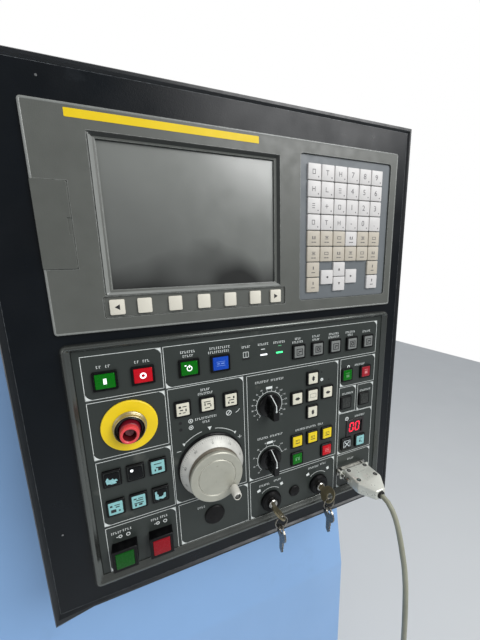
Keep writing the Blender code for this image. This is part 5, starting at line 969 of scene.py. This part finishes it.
def round_about(middle, radius, angle):
    """Place at an angle in degrees, clockwise from straight up."""
    angle = math.radians(angle)
    return middle[0] + radius * math.sin(angle), middle[1] - radius * math.cos(angle)


def printed_arc(middle, radius, start, end, wide, steps):
    points = [round_about(middle, radius, start + (end - start) * i / steps) for i in range(steps + 1)]
    printed_path(points, wide)


GROUPS = [(16.7, 214.2, 90.2, 258.4), (17, 261.4, 90.4, 323.2), (17.6, 326.6, 91.5, 402.4),
          (17.7, 405.6, 91.2, 461), (92.3, 214.2, 382, 259.4), (93.1, 261.4, 179.7, 402.4),
          (95, 405.6, 181.4, 460), (184.2, 262.4, 317.4, 403.4), (184.9, 406.6, 315.9, 461),
          (321.9, 262.4, 382.1, 301.6), (321.3, 303.6, 349.8, 341.7), (353.5, 304.1, 381.6, 343.7),
          (321.9, 342.8, 381.6, 406), (321.9, 408.5, 382.1, 461)]
CORNER_RADIUS = 8.4
quarter = [math.pi / 2 * i / 6 for i in range(7)]
corner_arc = [(CORNER_RADIUS * (1 - math.sin(a)), CORNER_RADIUS * (1 - math.cos(a))) for a in quarter]
for x0, z0, x1, z1 in GROUPS:
    printed_path([(x0, z0), (x1, z0), (x1, z1), (x0, z1), (x0, z0)])
    printed_patch([(x1, z0)] + [(x1 - x, z0 + z) for x, z in corner_arc])
    printed_patch([(x0, z1)] + [(x0 + x, z1 - z) for x, z in corner_arc])
STROKE_HEIGHT = 2.8


def stroke_row(middle, down, length):
    """Row of short strokes and ticks of one height, as wide as one line of print."""
    count = max(2, round(length * 1.1 / 2.3))
    for i in range(count):
        x = middle + (i - (count - 1) / 2) * length * 1.1 / count
        dash = 1.3 if i % 3 else 0.9
        left, right = x - dash / 2, x + dash / 2
        for level, wanted in ((-0.34, i % 4 != 2), (0.34, i % 3 != 1)):
            if wanted:
                z = down + STROKE_HEIGHT * level
                printed_path([(left, z), (right, z)], 0.52)
        printed_path([(left, down - STROKE_HEIGHT / 2), (left, down + STROKE_HEIGHT / 2)], 0.5)


STROKE_ROWS = [(31.5, 226, 5), (39.5, 226, 4.5), (66, 226, 5), (75, 226, 6.5),
               (117.5, 222.5, 15), (117.5, 227, 11), (146, 222.5, 9), (158, 222.5, 13),
               (152, 227, 23), (184.5, 226, 10), (206.5, 225.5, 13), (228, 225.5, 15),
               (254, 224.5, 8), (254, 228.8, 15), (281, 224.5, 11), (281, 228.8, 10),
               (309, 224.5, 15), (309, 228.8, 16), (336, 225, 15), (336, 229, 8),
               (364, 227, 13), (134, 268.5, 10), (134, 273, 16), (133.5, 302.5, 24),
               (133, 307.5, 8), (204, 272.5, 17), (225, 272.5, 17), (204, 348, 14),
               (223, 348, 17), (259, 349.5, 14), (275.5, 349.5, 15), (291, 349.5, 8),
               (355, 273.5, 16), (336, 313.5, 18), (367.5, 314, 18), (360, 352, 17),
               (27.5, 414, 10), (38.5, 413.5, 9), (67.5, 413, 8), (77.5, 412.5, 8), (121, 418, 9),
               (205, 416, 14), (224, 414.5, 10), (281, 413.5, 16), (297, 412.5, 9),
               (346, 419, 11)]
for row in STROKE_ROWS:
    stroke_row(*row)

FEED = (213.6, 304.5)
SPINDLE = (213.6, 379)
SCALE_RADIUS = 17.6
SCALE_START = -135
scale_numbers = []
for middle, end, first, count in ((FEED, 135, 0, 16), (SPINDLE, 75, 50, 8)):
    printed_arc(middle, SCALE_RADIUS, SCALE_START, end, 0.6, 30)
    for i in range(count):
        angle = SCALE_START + (end - SCALE_START) * i / (count - 1)
        if abs(angle) > 14:
            scale_numbers.append((str(first + 10 * i), *round_about(middle, 23.2, angle), 1.9))
    flag = ((-4.2, -24.2), (4.2, -24.2), (4.2, -21), (-4.2, -21))
    printed_patch([(middle[0] + x, middle[1] + z) for x, z in flag])
ink_figures("scale_numbers", scale_numbers, PRINT_BASE + 0.04, white_ink)

WHEEL = (136.7, 362.5)
WHEEL_ARC = 44.5
printed_patch([(WHEEL[0] + x, WHEEL[1] + z) for x, z in ((-2.4, -47.6), (2.4, -47.6), (0, -43))])
for start, end, tip_angle in ((-42, -12, -43), (8, 42, 43)):
    printed_arc(WHEEL, WHEEL_ARC, start, end, 0.6, 12)
    x, z = round_about(WHEEL, WHEEL_ARC, tip_angle)
    printed_patch([(x - 1.8, z - 1.8), (x + 1.8, z - 1.4), (x, z + 2)])
for x, z in ((213.6, 441.2), (288.5, 441.2)):
    printed_arc((x, z), 18.6, -42, 42, 0.5, 14)
    printed_patch([(x - 19.5, z - 19.5), (x - 15, z - 21.5), (x - 14, z - 17.5), (x - 18.5, z - 16.5)])
    printed_patch([(x + 14, z - 20.5), (x + 18, z - 21.5), (x + 19, z - 17.5), (x + 15.5, z - 16.5)])
SIGN_PATHS = [([(97.8, 337), (102.8, 337)], 0.6), ([(170.6, 337), (175.4, 337)], 0.6),
              ([(173, 334.6), (173, 339.4)], 0.6), ([(158.6, 305), (162.4, 301)], 0.9),
              ([(169, 304.5), (172, 303), (174, 300.5)], 0.7),
              ([(27, 420), (28.6, 420)], 0.8), ([(66.5, 419), (68.1, 419)], 0.8),
              ([(181, 232.2), (187.4, 232.2), (187.4, 238.6), (181, 238.6), (181, 232.2)], 0.5),
              ([(184.2, 232.2), (184.2, 238.6)], 0.5), ([(203.4, 231.6), (208.6, 231.6)], 0.9),
              ([(226.4, 230), (231, 230)], 0.8, 2)]
for path in SIGN_PATHS:
    printed_path(*path)
SIGN_RINGS = [((104, 303), 1.9, 0, 1), ((104, 311), 1.9, 0, 1), ((115.5, 303), 2.6, 1.9),
              ((115.5, 311), 2.6, 1.9), ((115.5, 303), 0.9), ((115.5, 311), 0.9),
              ((160.5, 303), 3.4, 2.6), ((31, 420), 2, 1.1), ((39, 420), 2.2, 1.4), ((70.5, 419), 2, 1.1),
              ((78.5, 419), 2.2, 1.4), ((335.5, 274.5), 2.4, 1.2), ((336.5, 353), 3, 1.9),
              ((336.5, 353), 0.8), ((291.5, 285), 2.2, 0.6), ((291, 274.5), 1.1, 0, 1),
              ((302.5, 286.5), 1.1, 0, 1)]
for sign in SIGN_RINGS:
    printed_ring(*sign)
solid("panel_print", print_form, white_ink, black_and_painted_shade, finish("green_ink", (96, 176, 122), 0.5))


# The scales' ticks, and later the handwheel's graduations, stand round a dial: the tree that sets the
# keys turns one unit tick about the dial's middle, as often as asked.
def round_dial(name, build, material, middle, count, first, step, body="station"):
    """The unit set round a dial, from straight up when the first angle is 0."""
    repeated(name, build, material, [middle] * count, [first + step * i for i in range(count)], body)


def scale_tick(form):
    ink_bar(form, (0, -SCALE_RADIUS - 1.3), 0.5, 2.6, PRINT_BASE, rise=PANEL_RISE)


round_dial("feed_scale_ticks", scale_tick, white_ink, FEED, 16, SCALE_START, 18)
round_dial("spindle_scale_ticks", scale_tick, white_ink, SPINDLE, 8, SCALE_START, 30)

# Signal lamps: three windows under their signs, one dark, one white and one lit green. Tool number:
# two red seven-segment figures behind smoked plastic.
lamp_form = bmesh.new()
for number, spot in enumerate(((184.4, 240.4), (207, 238.4), (228, 238.4))):
    prism(lamp_form, spot, oblong(9, 1.9, 0.6), -1.02, -0.55, number)
solid("signal_lamps", lamp_form, black_and_painted_shade, glowing("white_lamp", (238, 240, 242), 0.7),
      glowing("green_lamp", (70, 240, 140), 1.3))
DISPLAY = (351.05, 368.3)
SEGMENT_LEAN = 0.12
dress(finish("smoked_window", (20, 9, 11), 0.18, mottle=0.1, patch=0.01), "tool_display")
segment_form = bmesh.new()
for digit in (-5.2, 5.2):
    for right, up, wide, tall in ((0, 6.4, 5.2, 1.5), (0, -6.4, 5.2, 1.5), (-3.2, 3.2, 1.5, 5.2),
                                  (3.2, 3.2, 1.5, 5.2), (-3.2, -3.2, 1.5, 5.2), (3.2, -3.2, 1.5, 5.2)):
        spot = (DISPLAY[0] + digit + right + SEGMENT_LEAN * up, DISPLAY[1] - up, -1.2)
        prism(segment_form, spot, oblong(wide, tall, 0.4), -0.05, 0.12)
solid("tool_number", segment_form, glowing("red_segment", (236, 16, 50), 1.6))

# Blanking plugs: black snap-in discs in two unused switch holes.
dress(finish("blank_plug", (11, 10, 10), 0.5, mottle=0.1, patch=0.01, grain=0.1, specular=0.2),
      "blanking_plug_left", "blanking_plug_right")

# Stop button: yellow plastic ring, turned metal collar, black tube and the stepped red turning
# sleeve; its lower step and its bore take darker copies of the red as painted shade, and the pinkish core
# shows in the bore.
STOP = (53.5, 292)
dress(finish("stop_ring_yellow", (238, 204, 10), 0.36, mottle=0.05, patch=0.02, grain=0.08,
             dirt=(176, 142, 30), dirt_share=0.06, edge_colour=(250, 226, 90)), "estop_ring")
collar_form = bmesh.new()
spin(collar_form, STOP, [(14.2, 1.8), (16.4, 1.8), (16.4, 3.3), (15.6, 3.9), (15.5, 4.6), (15.9, 5),
                         (15.9, 5.9), (15.4, 6.3), (15.2, 8.6), (14.9, 9.6), (14.5, 9.9), (14.2, 9.2)], 56)
collar = solid("stop_collar", collar_form,
               finish("collar_metal", (178, 168, 136), 0.36, metallic=0.8, mottle=0.10, patch=0.01,
                      dirt=(112, 98, 68), dirt_share=0.14), smooth=28)
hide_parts("estop_collar")
dress(finish("tube_black", (16, 12, 15), 0.3, mottle=0.1, patch=0.01), "estop_body")
# The sleeve's lower step and bore get dark red finishes: painted shade.
head_form = bmesh.new()
spin(head_form, STOP, [(6.3, 3.2), (9.8, 3.2), (10, 3.6), (10, 12.6), (9.6, 13.6), (8.9, 14),
                       (6.3, 14)], 56, 1)
spin(head_form, STOP, [(6.3, 12), (8.9, 12), (9, 14.6), (9, 18.6), (8.6, 19.7), (8, 20),
                       (7, 20), (6.4, 19.5), (6.3, 18.8)], 56)
spin(head_form, STOP, [(5.5, 3.4), (6.35, 3.4), (6.35, 18.9), (6.1, 18.6), (5.9, 9), (5.5, 8.6)], 56, 2)
head = solid("stop_sleeve", head_form,
             finish("stop_red", (216, 62, 68), 0.34, mottle=0.10, patch=0.008, grain=0.1,
                    dirt=(150, 30, 40), dirt_share=0.10, edge_colour=(240, 128, 122)),
             finish("stop_red_painted_shade", (108, 14, 30), 0.34, mottle=0.14, patch=0.006, edge_colour=(176, 58, 66)),
             finish("bore_painted_shade", (96, 10, 18), 0.5, mottle=0.1), body="estop_head", smooth=28)
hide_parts("estop_head")
dress(finish("core_pink", (128, 74, 80), 0.5, mottle=0.3, patch=0.003, grain=0.2, dirt=(70, 20, 28),
             dirt_share=0.25), "estop_stem")

# Handwheel: turned aluminium dial, bright on its cone with a hundred graduations and ten numbers, darker
# in its neck from dirt and painted shade, and satin on its disc, with an ivory crank grip on its screw, over a
# thin black ring.
dress(black_plastic, "handwheel_base")
# The neck's darker brown finish is dirt and painted shade.
wheel_form = bmesh.new()
spin(wheel_form, WHEEL, [(0, -8), (4, -8), (4, 2), (37, 2), (37.7, 2.6), (37.7, 4.9), (37.2, 5.7),
                         (31.2, 12.9), (30.2, 13.9), (0, 13.9)], 96, 1)
spin(wheel_form, WHEEL, [(0, 13), (30, 13), (29.6, 14.2), (28, 14.8), (27.2, 15.4), (27, 16.4),
                         (27, 18), (0, 18)], 96, 2)
spin(wheel_form, WHEEL, [(0, 17.4), (27, 17.4), (27.8, 18.3), (29.2, 19), (30, 20.3), (30, 22.4),
                         (29.7, 23.2), (28.8, 23.9), (22, 24), (21.5, 23.6), (21, 23.3), (20.6, 23.6),
                         (20.2, 24.1), (10, 24.5), (0, 24.6)], 96)
wheel = solid("dial_wheel", wheel_form,
              finish("satin_disc", (172, 171, 158), 0.40, metallic=0.35, mottle=0.04, patch=0.010,
                     grain=0.04, grain_size=0.0005, dirt=(140, 136, 122), dirt_share=0.03,
                     edge_colour=(222, 221, 212)),
              finish("bright_cone", (206, 205, 198), 0.46, metallic=0.25, mottle=0.07, patch=0.006,
                     grain=0.10, dirt=(160, 154, 142), dirt_share=0.05),
              finish("neck_dirt_and_painted_shade", (112, 105, 93), 0.5, metallic=0.3, mottle=0.15, patch=0.006),
              body="handwheel", smooth=24)
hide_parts("handwheel")
CONE_EDGE = (37.2, 5.7)
CONE_SLOPE = (-0.640, 0.768)


def on_cone(angle, along, across, lift):
    """World point on the dial's cone: angle in radians, along the slope, across it and above it."""
    radius = CONE_EDGE[0] + along * CONE_SLOPE[0] + lift * CONE_SLOPE[1]
    out = CONE_EDGE[1] + along * CONE_SLOPE[1] - lift * CONE_SLOPE[0]
    right = radius * math.sin(angle) + across * math.cos(angle)
    up = radius * math.cos(angle) - across * math.sin(angle)
    return place(WHEEL[0] + right, WHEEL[1] - up, out)


def brick(form, corners, finish_index=0):
    """Body of eight corners, four below and four above in the same order."""
    corners = [form.verts.new(corner) for corner in corners]
    low, high = corners[:4], corners[4:]
    sides = [[low[k], low[(k + 1) % 4], high[(k + 1) % 4], high[k]] for k in range(4)]
    for face in [low, high[::-1]] + sides:
        form.faces.new(face).material_index = finish_index


def cone_tick(length, wide, lift):
    """Graduation on the cone, drawn where it stands straight up."""
    shift = place(0, 0) - place(*WHEEL)
    footprint = ((0.15, -wide / 2), (0.15, wide / 2), (length, wide / 2), (length, -wide / 2))
    return lambda form: brick(form, [on_cone(0, along, across, high) + shift
                                     for high in (-0.04, lift) for along, across in footprint])


tick_ink = finish("tick_ink", (104, 104, 98), 0.5)
for name, length, wide, lift, count in (("fine_graduations", 1.9, 0.2, 0.04, 100),
                                        ("five_graduations", 2.7, 0.26, 0.05, 20),
                                        ("ten_graduations", 3.4, 0.34, 0.06, 10)):
    round_dial(name, cone_tick(length, wide, lift), tick_ink, WHEEL, count, 0, 360 / count,
               body="handwheel")
number_form = bmesh.new()
for i in range(10):
    mesh = figure_mesh(str(10 * i), 2.8)
    for vertex in mesh.vertices:
        x, y, z = (value / MM for value in vertex.co)
        vertex.co = on_cone(math.radians(36 * i), 5.6 - y, x, z + 0.02)
    number_form.from_mesh(mesh)
    bpy.data.meshes.remove(mesh)
solid("dial_numbers", number_form, tick_ink, body="handwheel")
CRANK = round_about(WHEEL, 24.5, 134)
grip_form = bmesh.new()
spin(grip_form, CRANK, [(2.1, 25), (4, 25), (4.5, 25.6), (4.75, 27), (4.9, 31), (4.75, 36),
                        (4.6, 38.6), (4.1, 39.6), (3.5, 40), (3.3, 39.6), (3.3, 36.6), (2.1, 36.5)], 40)
# A black liner in the grip's bore: painted shade in the hole.
spin(grip_form, CRANK, [(2.2, 36.4), (3.4, 36.4), (3.4, 39), (3.25, 39), (3.2, 36.8), (2.2, 36.7)], 40, 1)
grip = solid("crank_handle", grip_form,
             finish("grip_plastic", (206, 204, 194), 0.34, patch=0.006, grain=0.08,
                    dirt=(140, 134, 118), dirt_share=0.05), black_and_painted_shade, body="crank_grip", smooth=30)
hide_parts("crank_grip")
dress(finish("screw_end", (110, 110, 106), 0.35, metallic=1, mottle=0.1, patch=0.002), "crank_screw")

# Rotary switches: black glossy bar knobs on round skirts, with a white line down the pointer.
knob_plastic = finish("knob_plastic", (4, 4, 5), 0.22, mottle=0.1, patch=0.01, specular=0.3,
                      dirt=(24, 23, 22), dirt_share=0.04)
KNOB_TOP = 18


def bar_knob(name, node, middle):
    form = bmesh.new()
    spin(form, middle, [(0, -11), (3, -11), (3, -0.7), (14.4, -0.7), (15, -0.2), (15, 1.6),
                        (14.6, 2.4), (13.8, 3), (9, 3.3), (0, 3.3)], 44)
    sections = []
    for width, low, high, out in ((10.4, -13.2, 14, 2.6), (9.6, -13.4, 12.4, 8), (8.6, -13.2, 9.6, 13.5),
                                  (7.6, -12.6, 8, 16.8), (6.6, -11.8, 7.2, KNOB_TOP)):
        sections.append((oblong(width, high - low, 1.6, 4, (0, (low + high) / 2)), out))
    stack(form, middle, sections)
    line = [((14.05, 2.8), (12.45, 8)), ((12.45, 8), (9.65, 13.5)), ((9.65, 13.5), (8.05, 16.8)),
            ((8.05, 16.8), (7.3, 17.95)), ((7.3, 18.02), (-1, 18.02))]
    centre = place(*middle)
    for (z0, out0), (z1, out1) in line:
        edges = ((z0, out0, -1), (z0, out0, 1), (z1, out1, 1), (z1, out1, -1))
        brick(form, [centre + Vector((sign * 0.5, -(out + lift), z + (lift if out0 != out1 else 0))) * MM
                     for lift in (-0.05, 0.07) for z, out, sign in edges], 1)
    spin(form, (middle[0], middle[1], KNOB_TOP), [(0, -0.05), (1.2, -0.05), (1.2, 0.09), (0, 0.09)], 20, 1)
    piece = solid(name, form, knob_plastic, white_ink, body=node)
    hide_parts(node)


bar_knob("feed_switch", "feed_knob", FEED)
bar_knob("spindle_switch", "spindle_knob", SPINDLE)

# Key switches: black bezels, chromed barrels and flat brass keys gone dark, each with a split ring
# and a brighter spare key.
dress(finish("bezel_black", (5, 5, 6), 0.42, mottle=0.1, patch=0.01, specular=0.2), "lock_bezel_left",
      "lock_bezel_right")
dress(finish("barrel_chrome", (180, 179, 174), 0.22, metallic=1, mottle=0.08, patch=0.004), "key_barrel_left",
      "key_barrel_right")
dress(finish("dark_brass", (130, 121, 96), 0.34, metallic=0.7, mottle=0.18, patch=0.005,
             edge_colour=(200, 194, 172), edge_width=0.0004), "key_left", "key_right")
dress(finish("nickel_silver", (118, 114, 106), 0.26, metallic=0.9, mottle=0.14, patch=0.004,
             edge_colour=(232, 228, 214), edge_width=0.0004),
      "spare_key_left", "spare_key_right", "key_ring_left", "key_ring_right")
